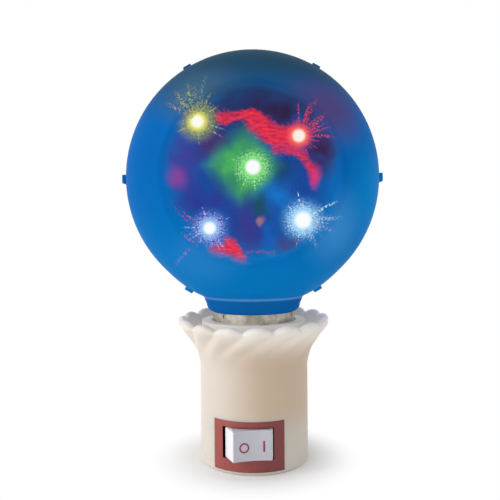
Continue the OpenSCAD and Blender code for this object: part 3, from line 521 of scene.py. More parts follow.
def blue_polystyrene(settings, see_through):
    """Blue translucent polystyrene, moulded: satin, dense where the wall is seen edge on, clear in front,
    with painted light and shade, painted rays and a painted glow.
    """
    made, tree, shader, seat = new_material("blue_polystyrene_" + ("front" if see_through else "rear"))
    place = ball_coordinates(tree, seat, settings.turn)
    frost_size, clouds_per_mm, dots_per_mm = 0.35, 0.06, 1.7
    clouds = add(tree, "TexNoise", {"Vector": place, "Scale": clouds_per_mm, "Detail": 2})
    shade = add(tree, "MapRange", {"Value": clouds, "To Min": 0.92, "To Max": 1.06})
    glow = add(tree, "HueSaturation", {"Color": ball_blue(tree, settings, place), "Value": shade})
    frost = add(tree, "TexNoise", {"Vector": place, "Scale": 1 / frost_size, "Detail": 2})
    bump = add(tree, "Bump", {"Height": frost, "Strength": 0.1, "Distance": 0.01 * MM})
    gloss = add(tree, "MapRange", {"Value": clouds, "To Min": 0.4, "To Max": 0.52})
    if see_through:
        # A clear round window in front of the film
        window_z, window_r, window_end = -1.1, 18.9, 23.6
        clear = soft_spot(tree, place, (0, 0, window_z), (1, ACROSS, 1), 0, window_r, window_end)
        tint = add(tree, "MapRange", {"Value": clear, "From Min": 0.75, "To Min": 1, "To Max": 0.5})
        glow = add(tree, "HueSaturation", {"Color": glow, "Value": tint})
        veil = add(tree, "MapRange", {"Value": clear, "To Min": 0.96, "To Max": 0.1})
        # The wall is denser where it is seen edge on
        facing = add(tree, "LayerWeight", {"Blend": 0.5}).outputs["Facing"]
        dense = add(tree, "MapRange", {"Value": facing, "From Min": 0.3, "From Max": 0.8, "To Max": 0.96},
                    interpolation_type="SMOOTHSTEP")
        cover = add(tree, "Math", {0: veil, 1: dense}, operation="MAXIMUM")
        # Painted dots of the rays' light, drawn coarser than a real film throws them, so that they show
        dots = add(tree, "TexVoronoi", {"Vector": place, "Scale": dots_per_mm})
        speck = add(tree, "MapRange", {"Value": dots, "From Min": 0.58, "From Max": 0.3})
        for start, ends in RAYS:
            for end, half, paint, strength in ends:
                ray = wall_ray(tree, place, start, end, half, strength)
                dotted = add(tree, "Math", {0: ray, 1: speck}, operation="MULTIPLY")
                glow = add(tree, "Mix", {SHARE: dotted, BELOW: glow, OVER: linear(paint)}, data_type="RGBA")
                cover = add(tree, "Math", {0: cover, 1: dotted}, operation="MAXIMUM")
        feed(tree, shader, {"Alpha": cover})
    # A painted glow: the LEDs inside make the wall glow a little
    deep = add(tree, "HueSaturation", {"Color": glow, "Value": 0.65})
    feed(tree, shader, {"Base Color": deep, "Roughness": gloss, "Normal": bump, "IOR": 1.5,
                        "Specular IOR Level": 0.006, "Emission Color": glow, "Emission Strength": 0.5})
    return made


# One LED's light on the film: its middle, radii of its core and halo, colours near the core, of the halo
# and of the rays, length and heading of the longest rays, the shortest rays' share of that length, and the
# core's colour
Glint = namedtuple("Glint", ("centre", "core", "halo", "near_paint", "halo_paint", "ray_paint", "length",
                             "heading", "least", "core_paint"))
GLINTS = (
    Glint((-14.5, 13.9), 1.45, 6.8, "#f4f06c", "#93a33a", "#bdb652", 15.0, 118, 0.4, "#fffff0"),
    Glint((12.3, 9.9), 1.55, 4.6, "#ff6a50", "#d8283c", "#f23c5a", 11.0, 38, 0.4, "#fff2e2"),
    Glint((0.1, 1.7), 1.85, 7.2, "#7ce466", "#38b03a", "#c8f4c0", 6.0, 250, 0.8, "#ffffff"),
    Glint((13.2, -12.4), 2.05, 7.4, "#a4dcfa", "#3c9fe0", "#dcecf6", 9.5, -28, 0.6, "#ffffff"),
    Glint((-11.5, -14.3), 1.5, 6.6, "#98ccf8", "#2478d4", "#d8b4e4", 9.0, 215, 0.55, "#ffffff"),
)
# Soft patches of painted light and shade on the film: place, half width, half height, turn in degrees,
# colour and strength
GLOWS = (
    ((-1.0, 17.5), 17, 8.5, 0, "#27264f", 0.95),
    ((9.0, 16.4), 10, 4.6, -12, "#300c28", 1.0),
    ((18.4, 6.0), 5.6, 6.4, 0, "#3c0e32", 1.0),
    ((16.3, -0.6), 1.9, 3.6, 8, "#e42c6c", 1.0),
    ((-18.5, 3.5), 5.5, 10, 0, "#43358c", 0.85),
    ((-10.5, 8.0), 4.6, 3.6, 35, "#4c1c48", 0.9),
    ((-20.0, -0.9), 2.7, 3.4, 0, "#9c3890", 0.8),
    ((-13.0, -7.0), 9.0, 4.6, 0, "#2d2b8a", 0.9),
    ((-1.5, -14.0), 4.4, 8.5, 8, "#3a2a80", 0.9),
    ((9.4, -18.3), 4.6, 2.8, 15, "#4a2458", 0.9),
    ((6.4, -6.0), 4.6, 5.6, 30, "#1273c6", 0.95),
    ((4.6, -16.5), 2.6, 4.0, 0, "#1560b8", 0.8),
    ((7.6, 0.8), 4.2, 4.0, 0, "#143c62", 0.9),
    ((1.7, -8.2), 2.8, 3.4, 0, "#1a4a40", 0.9),
    ((2.0, -12.4), 1.0, 1.1, 0, "#c08460", 0.9),
)
# Ragged red strokes of painted light on the film: two ends, half width and strength. Below zero, a width
# leaves only specks
STROKES = (
    ((-8.2, 15.0), (0.5, 15.3), 1.3, 0.95),
    ((0.0, 14.6), (6.5, 9.8), 2.5, 1.0),
    ((5.0, 10.5), (11.0, 9.6), 2.7, 1.0),
    ((6.5, 6.6), (12.5, 5.6), 1.2, 0.85),
    ((12.6, 5.4), (15.2, 1.6), 0.9, 0.85),
    ((-10.6, -20.0), (-4.6, -20.8), 1.3, 0.95),
    ((-6.2, -18.8), (-3.4, -22.6), 1.5, 0.95),
    ((-1.6, -20.4), (5.0, -21.2), -0.2, 1.0),
)
# How far above the ball's middle the drawn light is centred
FILM_RISE = 0.4
# Part of a noise pattern's range that is stretched from dark to light
NOISE_LOW, NOISE_HIGH = 0.36, 0.62


def green_kite(tree, flat, warp):
    """Share and colour of the soft green kite of painted light round the middle LED."""
    local = add(tree, "Mapping", {"Vector": flat, "Location": (-2.7, 2.1, 0), "Scale": (11.6, 12.2, 1),
                                  "Rotation": (0, 0, math.radians(-1))}, vector_type="TEXTURE")
    positive = add(tree, "VectorMath", {0: local}, operation="ABSOLUTE")
    straight = add(tree, "VectorMath", {0: positive, 1: (0.7, 0.7, 0)}, operation="DOT_PRODUCT")
    round_off = add(tree, "VectorMath", {0: local}, operation="LENGTH")
    edge = add(tree, "Math", {0: round_off, 1: 0.42, 2: straight}, operation="MULTIPLY_ADD")
    inside = add(tree, "MapRange", {"Value": edge, "From Min": 0.48, "From Max": 1.2, "To Min": 0.95,
                                    "To Max": 0}, interpolation_type="SMOOTHSTEP")
    waves = add(tree, "MapRange", {"Value": warp, "From Min": NOISE_LOW, "From Max": NOISE_HIGH})
    return inside, add(tree, "Mix", {SHARE: waves, BELOW: linear("#2c7a50"), OVER: linear("#4cb044")},
                       data_type="RGBA")


def stroke_distance(tree, place, start, end):
    """Distance from a straight stroke between two points."""
    start, end = Vector(start).to_3d(), Vector(end).to_3d()
    along = end - start
    about = add(tree, "VectorMath", {0: place, 1: start}, operation="SUBTRACT")
    share = add(tree, "VectorMath", {0: about, 1: along / along.length_squared}, operation="DOT_PRODUCT")
    held = add(tree, "Clamp", {"Value": share})
    foot = add(tree, "VectorMath", {0: along, "Scale": held}, operation="SCALE")
    return add(tree, "VectorMath", {0: about, 1: foot}, operation="DISTANCE")


def red_strokes(tree, flat, wavy, ragged, colour):
    """Lays the ragged, streaky red strokes of painted light over colour."""
    soft = 0.9
    streak_place = add(tree, "Mapping", {"Vector": flat, "Rotation": (0, 0, math.radians(40)),
                                    "Scale": (0.45, 1.6, 1)})
    streaks = add(tree, "TexNoise", {"Vector": streak_place, "Scale": 1, "Detail": 4, "Roughness": 0.7})
    lit = add(tree, "MapRange", {"Value": streaks, "From Min": NOISE_LOW, "From Max": NOISE_HIGH})
    red = add(tree, "Mix", {SHARE: lit, BELOW: linear("#a80c30"), OVER: linear("#ff3238")}, data_type="RGBA")
    # The noise, centred on zero, tears the strokes' edges by up to 2.1 mm
    tear = add(tree, "Math", {0: ragged, 1: -4.2, 2: 2.1}, operation="MULTIPLY_ADD")
    for start, end, half, strength in STROKES:
        torn = add(tree, "Math", {0: stroke_distance(tree, wavy, start, end), 1: tear}, operation="ADD")
        band = add(tree, "MapRange", {"Value": torn, "From Min": half - soft, "From Max": half + soft,
                                      "To Min": strength, "To Max": 0}, interpolation_type="SMOOTHSTEP")
        colour = add(tree, "Mix", {SHARE: band, BELOW: colour, OVER: red}, data_type="RGBA")
    return colour


def led_glint(tree, flat, speck, ragged, colour, glint, number):
    """Lays one LED's light over colour: a halo, dotted rays, longest on one side, and a bright core."""
    rays_per_radian, noise_stretch = 6.4, 17.3
    about = add(tree, "VectorMath", {0: flat, 1: (*glint.centre, 0)}, operation="SUBTRACT")
    far = add(tree, "VectorMath", {0: about}, operation="LENGTH")
    sides = add(tree, "SeparateXYZ", {"Vector": about}).outputs
    angle = add(tree, "Math", {0: sides["Y"], 1: sides["X"]}, operation="ARCTAN2")
    # Noise round the circle gives the rays, and each LED takes its own stretch of it
    round_place = add(tree, "Math", {0: angle, 1: rays_per_radian, 2: noise_stretch * number},
                      operation="MULTIPLY_ADD")
    lines = add(tree, "TexNoise", {"W": round_place, "Scale": 1, "Detail": 1}, noise_dimensions="1D")
    heading = math.radians(glint.heading)
    outward = add(tree, "VectorMath", {0: about}, operation="NORMALIZE")
    aim = add(tree, "VectorMath", {0: outward, 1: (math.cos(heading), math.sin(heading), 0)},
              operation="DOT_PRODUCT")
    length = add(tree, "MapRange", {"Value": aim, "From Min": -0.2, "From Max": 0.8,
                                    "To Min": glint.length * glint.least, "To Max": glint.length})
    share = add(tree, "Math", {0: far, 1: length}, operation="DIVIDE")
    limit = add(tree, "Math", {0: share, 1: 0.36, 2: 0.34}, operation="MULTIPLY_ADD")
    spare = add(tree, "Math", {0: lines, 1: limit}, operation="SUBTRACT")
    spike = add(tree, "MapRange", {"Value": spare, "From Min": 0, "From Max": 0.07})
    glow = add(tree, "MapRange", {"Value": far, "From Min": glint.core, "From Max": glint.halo, "To Min": 1,
                                  "To Max": 0}, interpolation_type="SMOOTHSTEP")
    dense = add(tree, "Math", {0: glow, 1: glow}, operation="MULTIPLY")
    lively = add(tree, "Math", {0: spike, 1: dense}, operation="MAXIMUM")
    dotted = add(tree, "Math", {0: lively, 1: speck}, operation="MULTIPLY")
    grains = add(tree, "MapRange", {"Value": ragged, "From Min": NOISE_LOW, "From Max": NOISE_HIGH,
                                    "To Min": 0.45, "To Max": 1})
    shown = add(tree, "Math", {0: glow, 1: grains}, operation="MULTIPLY")
    near = soft_spot(tree, flat, (*glint.centre, 0), (glint.core, glint.core, 1), 0, 0.9, 2.4)
    core = soft_spot(tree, flat, (*glint.centre, 0), (glint.core, glint.core, 1), 0, 0.7, 1.4)
    for part, paint in ((shown, glint.halo_paint), (dotted, glint.ray_paint), (near, glint.near_paint),
                        (core, glint.core_paint)):
        colour = add(tree, "Mix", {SHARE: part, BELOW: colour, OVER: linear(paint)}, data_type="RGBA")
    return colour


def starburst_film_finish(settings):
    """Diffraction film on clear polyester, with the LEDs' light and shade painted on it as a glow: each LED
    shows as a white core with a halo and dotted rays.
    """
    made, tree, shader, seat = new_material("diffraction_film")
    waves_per_mm, dots_per_mm, grains_per_mm = 0.16, 1.8, 1.2
    wave_height = 4.0
    rim_from, rim_to = 16, 23.5
    place = ball_coordinates(tree, seat, settings.turn, FILM_RISE)
    axes = add(tree, "SeparateXYZ", {"Vector": place}).outputs
    flat = add(tree, "CombineXYZ", {"X": axes["X"], "Y": axes["Z"]})
    # Waves that bend the patches and strokes
    warp = add(tree, "TexNoise", {"Vector": flat, "Scale": waves_per_mm, "Detail": 3})
    centred = add(tree, "VectorMath", {0: warp.outputs["Color"], 1: (0.5, 0.5, 0.5)}, operation="SUBTRACT")
    spread = add(tree, "VectorMath", {0: centred, "Scale": wave_height}, operation="SCALE")
    wavy = add(tree, "VectorMath", {0: flat, 1: spread}, operation="ADD")
    # Dots of the film's grating, drawn coarser than the real ones to show, and the ragged grain of the light
    dots = add(tree, "TexVoronoi", {"Vector": flat, "Scale": dots_per_mm, "Randomness": 0.9},
               voronoi_dimensions="2D")
    speck = add(tree, "MapRange", {"Value": dots, "From Min": 0.5, "From Max": 0.25})
    ragged = add(tree, "TexNoise", {"Vector": flat, "Scale": grains_per_mm, "Detail": 5, "Roughness": 0.68})
    # Blue that turns to the ball's own blue at the film's edge
    blues = add(tree, "Mix", {SHARE: warp, BELOW: linear("#152f7c"), OVER: linear("#1450a4")},
                data_type="RGBA")
    reach = add(tree, "VectorMath", {0: flat}, operation="LENGTH")
    rim = add(tree, "MapRange", {"Value": reach, "From Min": rim_from, "From Max": rim_to},
              interpolation_type="SMOOTHSTEP")
    colour = add(tree, "Mix", {SHARE: rim, BELOW: blues, OVER: ball_blue(tree, settings, place)},
                 data_type="RGBA")
    for centre, wide, tall, turn, paint, strength in GLOWS:
        spot = soft_spot(tree, wavy, (*centre, 0), (wide, tall, 1), turn, 0, 1.5, strength)
        colour = add(tree, "Mix", {SHARE: spot, BELOW: colour, OVER: linear(paint)}, data_type="RGBA")
    inside, greens = green_kite(tree, flat, warp)
    colour = add(tree, "Mix", {SHARE: inside, BELOW: colour, OVER: greens}, data_type="RGBA")
    colour = red_strokes(tree, flat, wavy, ragged, colour)
    for number, glint in enumerate(GLINTS, 1):
        colour = led_glint(tree, flat, speck, ragged, colour, glint, number)
    feed(tree, shader, {"Base Color": linear("#05060c"), "Roughness": 0.5, "Specular IOR Level": 0.1,
                        "Emission Color": colour, "Emission Strength": 1.18})
    return made


# Casing, in millimetres: rounding of the foot, height of the lip, and the powers of the flare's two curves
FOOT_ROUNDING = 0.8
LIP_HEIGHT = 2.4
OUTER_CURVE, INNER_CURVE = 1.75, 1.7
# Both windows are cut below this height. The gap round the plate, and half width and top of the rear cut-out
WINDOWS_BELOW = 17
WINDOW_GAP, WINDOW_GAP_ANGLE = 0.05, math.radians(0.25)
CUT_OUT_HALF, CUT_OUT_TOP = 11.9, 15.3
# Metres within which a point lies on a cut
ON_CUT = 1e-6


def petal_wall(settings):
    """Wall of the tube and collar as radius and height, from the foot up the outside and down the inside."""
    half = settings.petal_t / 2
    lip_r, lip_z = settings.petal_r - half, settings.petal_top - half
    flare_end = settings.petal_top - LIP_HEIGHT
    flare_r, inner_flare_z = settings.petal_r - 0.2, settings.flare_z + 1
    foot = [(settings.tube_r - FOOT_ROUNDING * (1 - math.sin(a)), FOOT_ROUNDING * (1 - math.cos(a)))
            for a in map(math.radians, range(0, 91, 18))]
    tube = [(settings.tube_r, z) for z in range(4, int(settings.flare_z), 3)]
    steps = [i / 24 for i in range(24)]
    flare = [(settings.tube_r + (flare_r - settings.tube_r) * t ** OUTER_CURVE,
              settings.flare_z + t * (flare_end - settings.flare_z)) for t in steps if t < 0.9]
    corner = bend([i / 8 for i in range(1, 9)], flare[-1], (settings.petal_r, flare_end + 0.25),
                  (settings.petal_r - 0.05, lip_z + 0.3))
    lip = [(lip_r + half * math.cos(a), lip_z + half * math.sin(a))
           for a in map(math.radians, range(24, 181, 12))]
    inner = [(settings.tube_in + (settings.petal_r - settings.petal_t - settings.tube_in) * t ** INNER_CURVE,
              inner_flare_z + t * (lip_z - inner_flare_z)) for t in reversed(steps)]
    bore = [(settings.tube_in, z) for z in (20, 14, 8, 2, 0)]
    return foot + tube + flare + corner + lip + inner + bore


class DISCO_OT_casing(bpy.types.Operator):
    """Builds the casing: a tube that flares into a ruffled collar, with a switch window and rear cut-out"""
    bl_idname = "disco.casing"
    bl_label = "Casing"

    def execute(self, context):
        settings = context.scene.disco_casing
        bm = bmesh.new()
        turn_profile(bm, petal_wall(settings), 320)
        self.cut_switch_window(bm, context.scene.disco_switch)
        self.cut_plug_window(bm)
        self.ruffle(bm, settings)
        plastic = milky_polypropylene(settings)
        finish_piece("petal_casing", bm, plastic, "holder", ["casing"])
        return {"FINISHED"}

    def tube_faces(self, bm, side):
        """Faces of the lower tube on the front, for side -1, or the rear, for side 1."""
        middles = [(f, f.calc_center_median()) for f in bm.faces]
        return [f for f, middle in middles if side * middle.y > 0 and middle.z < WINDOWS_BELOW * MM]

    def cut_switch_window(self, bm, switch):
        """Cuts the window that the switch plate lies in."""
        half = switch.plate_half + WINDOW_GAP_ANGLE
        low, high = (PLATE_LOW.z - WINDOW_GAP) * MM, (PLATE_HIGH.z + WINDOW_GAP) * MM
        planes = [((0, 0, 0), (math.cos(half), s * math.sin(half), 0)) for s in (-1, 1)]
        planes += [((0, 0, z), (0, 0, 1)) for z in (low, high)]
        cut_away(bm, self.tube_faces(bm, -1), planes,
                 lambda p: p.y < 0 and abs(math.atan2(p.x, -p.y)) < half and low < p.z < high)
        bmesh.ops.bridge_loops(bm, edges=[e for e in bm.edges if e.is_boundary])

    def cut_plug_window(self, bm):
        """Cuts the rear cut-out, open at the foot, that the plug block slides into."""
        half, high = CUT_OUT_HALF * MM, CUT_OUT_TOP * MM
        planes = [((s * half, 0, 0), (1, 0, 0)) for s in (-1, 1)] + [((0, 0, high), (0, 0, 1))]
        cut_away(bm, self.tube_faces(bm, 1), planes, lambda p: p.y > 0 and abs(p.x) < half and p.z < high)
        # Each cut edge of the foot becomes one edge, so that the walls close on it
        for side in (-1, 1):
            foot = [v for v in bm.verts
                    if v.is_boundary and v.co.z < ON_CUT and abs(v.co.x - side * half) < ON_CUT]
            foot.sort(key=lambda v: v.co.y)
            bmesh.ops.dissolve_verts(bm, verts=foot[1:-1])
        rim = [e for e in bm.edges if e.is_boundary and max(v.co.z for v in e.verts) > ON_CUT]
        bmesh.ops.bridge_loops(bm, edges=rim)

    def ruffle(self, bm, settings):
        """Draws the flare in between the petals, and lowers the lip there and at the front."""
        flare_end = settings.petal_top - LIP_HEIGHT
        tube_middle = (settings.tube_r + settings.tube_in) / 2
        lip_middle = settings.petal_r - settings.petal_t / 2
        step = 2 * math.pi / settings.petals
        for v in bm.verts:
            x, y, z = v.co / MM
            t = min((z - settings.flare_z) / (flare_end - settings.flare_z), 1)
            if t <= 0:
                continue
            radius, angle = math.hypot(x, y), math.atan2(y, x)
            phase = (angle - FRONT - settings.turn + settings.lean * (1 - t)) / step
            off = phase - round(phase)
            # Sharp valleys at the lip that soften to waves down the flare
            crease = (1 - 2 * abs(off)) ** 2
            wave = 0.5 + 0.5 * math.cos(2 * math.pi * off)
            valley = crease * t ** 3 + wave * (1 - t ** 3)
            # The inside follows the flutes less than the outside
            outside = radius > tube_middle + (lip_middle - tube_middle) * t ** INNER_CURVE
            depth = settings.flute_in if outside else 0.4 * settings.flute_in
            radius -= depth * valley * smooth_step(t, 0.15, 0.9)
            z -= settings.petal_drop * valley * smooth_step(z, flare_end - 1, settings.petal_top)
            z -= (settings.front_dip * (1 - math.sin(angle)) / 2
                  * smooth_step(z, settings.flare_z + 4, settings.petal_top))
            v.co = Vector((radius * math.cos(angle), radius * math.sin(angle), z)) * MM


# The liner of the plate's opening: gap to the plate, back, depth of its front edge below the plate, and wall
LINER_GAP, LINER_BACK, LINER_BELOW, LINER_WALL = 0.02, -10.85, 0.28, 0.06
# The rocker about its pivot: half width, depth and hollow of its face, outline behind it, half height, pins
FACE_HALF, FACE_DEPTH, FACE_HOLLOW = 5.1, 5.35, 0.55
ROCKER_BACK = ((6.5, -0.3), (5.9, 0.8), (2.8, 2.2), (-2.8, 2.2), (-5.9, 0.8), (-6.5, -0.3))
ROCKER_HALF_H = 3.9
PIN_R, PIN_LENGTH, PIN_Z = 1.2, 1.0, 4.4
# The marks on the face: half the ink's thickness, radii and place of the O, width, height and place of the I
INK_HALF = 0.05
O_INNER, O_OUTER, O_PLACE = 0.92, 1.3, (-2.15, 0, -0.35)
I_WIDTH, I_HEIGHT, I_PLACE = 0.46, 2.8, (3.0, 0, -0.15)


class DISCO_OT_switch(bpy.types.Operator):
    """Builds the curved switch plate and the rocker with its O and I marks"""
    bl_idname = "disco.switch"
    bl_label = "Switch"

    def execute(self, context):
        settings = context.scene.disco_switch
        self.build_plate(settings)
        self.build_liner(settings)
        self.build_rocker(settings)
        self.build_marks(settings)
        return {"FINISHED"}

    def build_plate(self, settings):
        """The curved plate, with an opening whose walls run straight back."""
        bm = bmesh.new()
        low, high = PLATE_LOW.z, PLATE_HIGH.z
        heights = [low + (high - low) * i / 12 for i in range(13)]
        inner_r = settings.plate_r - settings.plate_t
        profile = [(settings.plate_r, z) for z in heights] + [(inner_r, z) for z in reversed(heights)]
        turn_profile(bm, profile, 60, FRONT - settings.plate_half, 2 * settings.plate_half)
        half_w, left = settings.opening_w / 2 * MM, settings.opening_left * MM
        bottom, top = [(ROCKER_Z + s * settings.opening_h / 2) * MM for s in (-1, 1)]
        planes = [((s * half_w - left, 0, 0), (1, 0, 0)) for s in (-1, 1)]
        planes += [((0, 0, z), (0, 0, 1)) for z in (bottom, top)]
        cut_away(bm, list(bm.faces), planes, lambda p: abs(p.x + left) < half_w and bottom < p.z < top)
        bmesh.ops.bridge_loops(bm, edges=[e for e in bm.edges if e.is_boundary])
        bmesh.ops.recalc_face_normals(bm, faces=bm.faces)
        round_edges(bm, 0.15, math.radians(50))
        plastic = brick_abs(settings)
        finish_piece("switch_bezel", bm, plastic, "holder", ["switch_plate"], 50)

    def build_liner(self, settings):
        """The dark edge of the switch inside the plate's opening, brought forward over the opening's walls
        as a dark sheet of painted shade.
        """
        bm = bmesh.new()
        front_r = settings.plate_r - LINER_BELOW
        rings = []
        # Forwards along the outside, then back along the inside
        for gap, front in ((LINER_GAP, False), (LINER_GAP, True), (LINER_GAP + LINER_WALL, True),
                           (LINER_GAP + LINER_WALL, False)):
            half_w, half_h = settings.opening_w / 2 - gap, settings.opening_h / 2 - gap
            across = [half_w * (i / 12 - 1) - settings.opening_left for i in range(25)]
            loop = [(x, ROCKER_Z - half_h) for x in across]
            loop += [(x, ROCKER_Z + half_h) for x in reversed(across)]
            points = [(x, -math.sqrt(front_r ** 2 - x ** 2) if front else LINER_BACK, z) for x, z in loop]
            rings.append([bm.verts.new(Vector(point) * MM) for point in points])
        join_rings(bm, rings + rings[:1])
        # Black phenolic, moulded: matt and dark; over the walls of the plate's opening it stands in for
        # their shade
        phenolic = mottled("phenolic_edge_and_shade", linear("#0c0c0d"), linear("#060607"), 3, 0.7, grain=0.4,
                           more={"Specular IOR Level": 0.1})
        finish_piece("opening_liner", bm, phenolic, "holder")

    def place_rocker(self, bm, settings):
        """Tilts what is modelled about the pivot and moves it into the plate."""
        pivot = Matrix.Translation(Vector((0, -settings.pivot_r, ROCKER_Z)) * MM)
        bmesh.ops.transform(bm, verts=bm.verts, matrix=pivot @ Matrix.Rotation(settings.rocker_tilt, 4, "Z"))

    def face_y(self, x):
        """Place of the rocker's hollow face at x."""
        return FACE_HOLLOW * (1 - (x / FACE_HALF) ** 2) - FACE_DEPTH

    def prism(self, bm, outline, middle, half):
        """Adds an upright prism over an outline, as far above the middle height as below it."""
        rings = [[bm.verts.new(Vector((x, y, z)) * MM) for x, y in outline]
                 for z in (middle - half, middle + half)]
        join_rings(bm, rings)
        for ring in rings:
            bm.faces.new(ring)

    def build_rocker(self, settings):
        """The rocker: a rounded prism with a hollow face and a pivot pin at each end."""
        bm = bmesh.new()
        face = [(x, self.face_y(x)) for x in (FACE_HALF * (i / 8 - 1) for i in range(17))]
        self.prism(bm, (*face, *ROCKER_BACK), 0, ROCKER_HALF_H)
        bmesh.ops.recalc_face_normals(bm, faces=bm.faces)
        round_edges(bm, 0.3, math.radians(20), 4)
        turns = [2 * math.pi * i / 32 for i in range(32)]
        pin = [(PIN_R * math.cos(a), PIN_R * math.sin(a)) for a in turns]
        for z in (-PIN_Z, PIN_Z):
            self.prism(bm, pin, z, PIN_LENGTH / 2)
        self.place_rocker(bm, settings)
        finish_piece("rocker_cap", bm, white_abs(settings), "rocker", ["rocker"], 35)

    def build_marks(self, settings):
        """The O and I, laid on the hollow face."""
        bm = bmesh.new()
        section = [(O_INNER, -INK_HALF), (O_INNER, INK_HALF), (O_OUTER, INK_HALF), (O_OUTER, -INK_HALF)]
        turn_profile(bm, section, 48)
        bmesh.ops.transform(bm, verts=bm.verts, matrix=Matrix.Translation(Vector(O_PLACE) * MM)
                            @ Matrix.Rotation(math.radians(90), 4, "X"))
        before = set(bm.verts)
        bmesh.ops.create_cube(bm, size=1)
        bar = added(bm, before)
        bmesh.ops.scale(bm, vec=Vector((I_WIDTH, 2 * INK_HALF, I_HEIGHT)) * MM, verts=bar)
        bmesh.ops.translate(bm, vec=Vector(I_PLACE) * MM, verts=bar)
        for v in bm.verts:
            v.co.y += self.face_y(v.co.x / MM) * MM
        self.place_rocker(bm, settings)
        # Pad-printed crimson ink: a thin, slightly uneven satin coat
        ink = mottled("printed_ink", settings.ink, linear("#8e2450"), 0.8, 0.4, grain=0.2)
        finish_piece("switch_marks", bm, ink, "rocker")


# The spigot that the cap holds, the play above the cap, and the rounding of the neck's foot
SPIGOT_R, SPIGOT_WALL, SPIGOT_DEPTH = 10.4, 1.2, 6
CAP_PLAY = 0.02
NECK_ROUNDING = 2.1
# Angle of the ball's surface that the fillet above the neck takes up, and half of the seam's gap
FILLET_ANGLE = 0.035
SEAM_GAP = math.radians(0.05)
# Boxes of the front half's pegs and of the slotted clips round them: low and high corner, outwards from the
# ball's surface, across the seam and along it
PEG = (((-0.8, -2.5, -0.45), (0.95, -1.3, 0.45)),)
CLIP = (
    ((0.15, -3.2, -1.2), (1.15, -2.6, 1.2)),
    ((0.15, -1.2, -1.2), (1.15, 2.8, 1.2)),
    ((0.15, -3.0, -1.2), (1.15, -0.9, -0.55)),
    ((0.15, -3.0, 0.55), (1.15, -0.9, 1.2)),
    ((-0.8, 0.1, -1.2), (0.7, 2.8, 1.2)),
)
PEG_ROUNDING, CLIP_ROUNDING = 0.15, 0.18


class DISCO_OT_ball(bpy.types.Operator):
    """Builds the ball's front and rear half shells with the snap clips on their seam"""
    bl_idname = "disco.ball"
    bl_label = "Ball"

    def execute(self, context):
        settings = context.scene.disco_bulb
        for front in (True, False):
            bm = bmesh.new()
            self.half_shell(bm, settings, front)
            self.seam_parts(bm, settings, front)
            bmesh.ops.rotate(bm, verts=bm.verts, cent=(0, 0, 0),
                             matrix=Matrix.Rotation(settings.turn, 3, "Z"))
            name = "globe_front" if front else "globe_rear"
            plastic = blue_polystyrene(settings, front)
            finish_piece(name + "_shell", bm, plastic, "bulb", [name], 30)
        return {"FINISHED"}

    def wall(self, settings):
        """Pairs of outer and inner points, as radius and height, from the spigot up to the top."""
        ball_r, inner_r = settings.ball_r, settings.ball_r - settings.wall
        bore = SPIGOT_R - SPIGOT_WALL
        meets = math.acos(settings.neck_r / ball_r)
        neck_z = BALL_Z - ball_r * math.sin(meets) - settings.sag
        start, inner_start = meets - FILLET_ANGLE, math.acos(bore / inner_r)
        neck = [(SPIGOT_R, CAP_TOP - SPIGOT_DEPTH), (SPIGOT_R, CAP_TOP - CAP_PLAY)]
        neck += [(settings.neck_foot_r - NECK_ROUNDING * (1 - math.sin(a)),
                  CAP_TOP + NECK_ROUNDING * (1 - math.cos(a))) for a in map(math.radians, range(0, 91, 15))]
        neck += bend([i / 8 for i in range(8)], (settings.neck_r - 0.05, neck_z - 0.8),
                     (settings.neck_r, neck_z + 0.05),
                     (ball_r * math.cos(start), BALL_Z - ball_r * math.sin(start) - settings.sag))
        pairs = [(point, (bore, point[1])) for point in neck]
        for share in (i / 63 for i in range(64)):
            out = -start + (math.pi / 2 + start) * share
            inn = -inner_start + (math.pi / 2 + inner_start) * share
            drawn = settings.sag * smooth_step(-math.sin(out), 0.7, math.sin(start))
            pairs.append(((max(ball_r * math.cos(out), 0), BALL_Z + ball_r * math.sin(out) - drawn),
                          (max(inner_r * math.cos(inn), 0), BALL_Z + inner_r * math.sin(inn))))
        return pairs

    def half_shell(self, bm, settings, front):
        """Turns the wall through half a turn, less the gap at the seam."""
        outer, inner = zip(*self.wall(settings))
        start = math.pi + SEAM_GAP if front else SEAM_GAP
        turn_profile(bm, outer + inner[::-1], 96, start, math.pi - 2 * SEAM_GAP)
        bmesh.ops.remove_doubles(bm, verts=bm.verts, dist=MERGE)
        bmesh.ops.dissolve_degenerate(bm, edges=bm.edges, dist=SAME)

    def seam_parts(self, bm, settings, front):
        """Adds the pegs of the front half or the clips of the rear half round the seam."""
        boxes, rounding = (PEG, PEG_ROUNDING) if front else (CLIP, CLIP_ROUNDING)
        surface = Vector((settings.ball_r, 0, 0))
        centre = Matrix.Translation((0, 0, BALL_Z * MM))
        for i in range(settings.clips):
            before = set(bm.verts)
            for low, high in boxes:
                self.rounded_block(bm, surface + Vector(low), surface + Vector(high), rounding)
            turned = centre @ Matrix.Rotation(-2 * math.pi * i / settings.clips, 4, "Y")
            bmesh.ops.transform(bm, verts=added(bm, before), matrix=turned)

    def rounded_block(self, bm, low, high, rounding):
        """Adds a block between two corners with its edges rounded."""
        made = bmesh.ops.create_cube(bm, size=1)["verts"]
        bmesh.ops.scale(bm, vec=(high - low) * MM, verts=made)
        bmesh.ops.translate(bm, vec=(low + high) / 2 * MM, verts=made)
        edges = list(dict.fromkeys(e for v in made for e in v.link_edges))
        bmesh.ops.bevel(bm, geom=edges, offset=rounding * MM, offset_type="OFFSET", segments=2, profile=0.5,
                        affect="EDGES", material=-1)


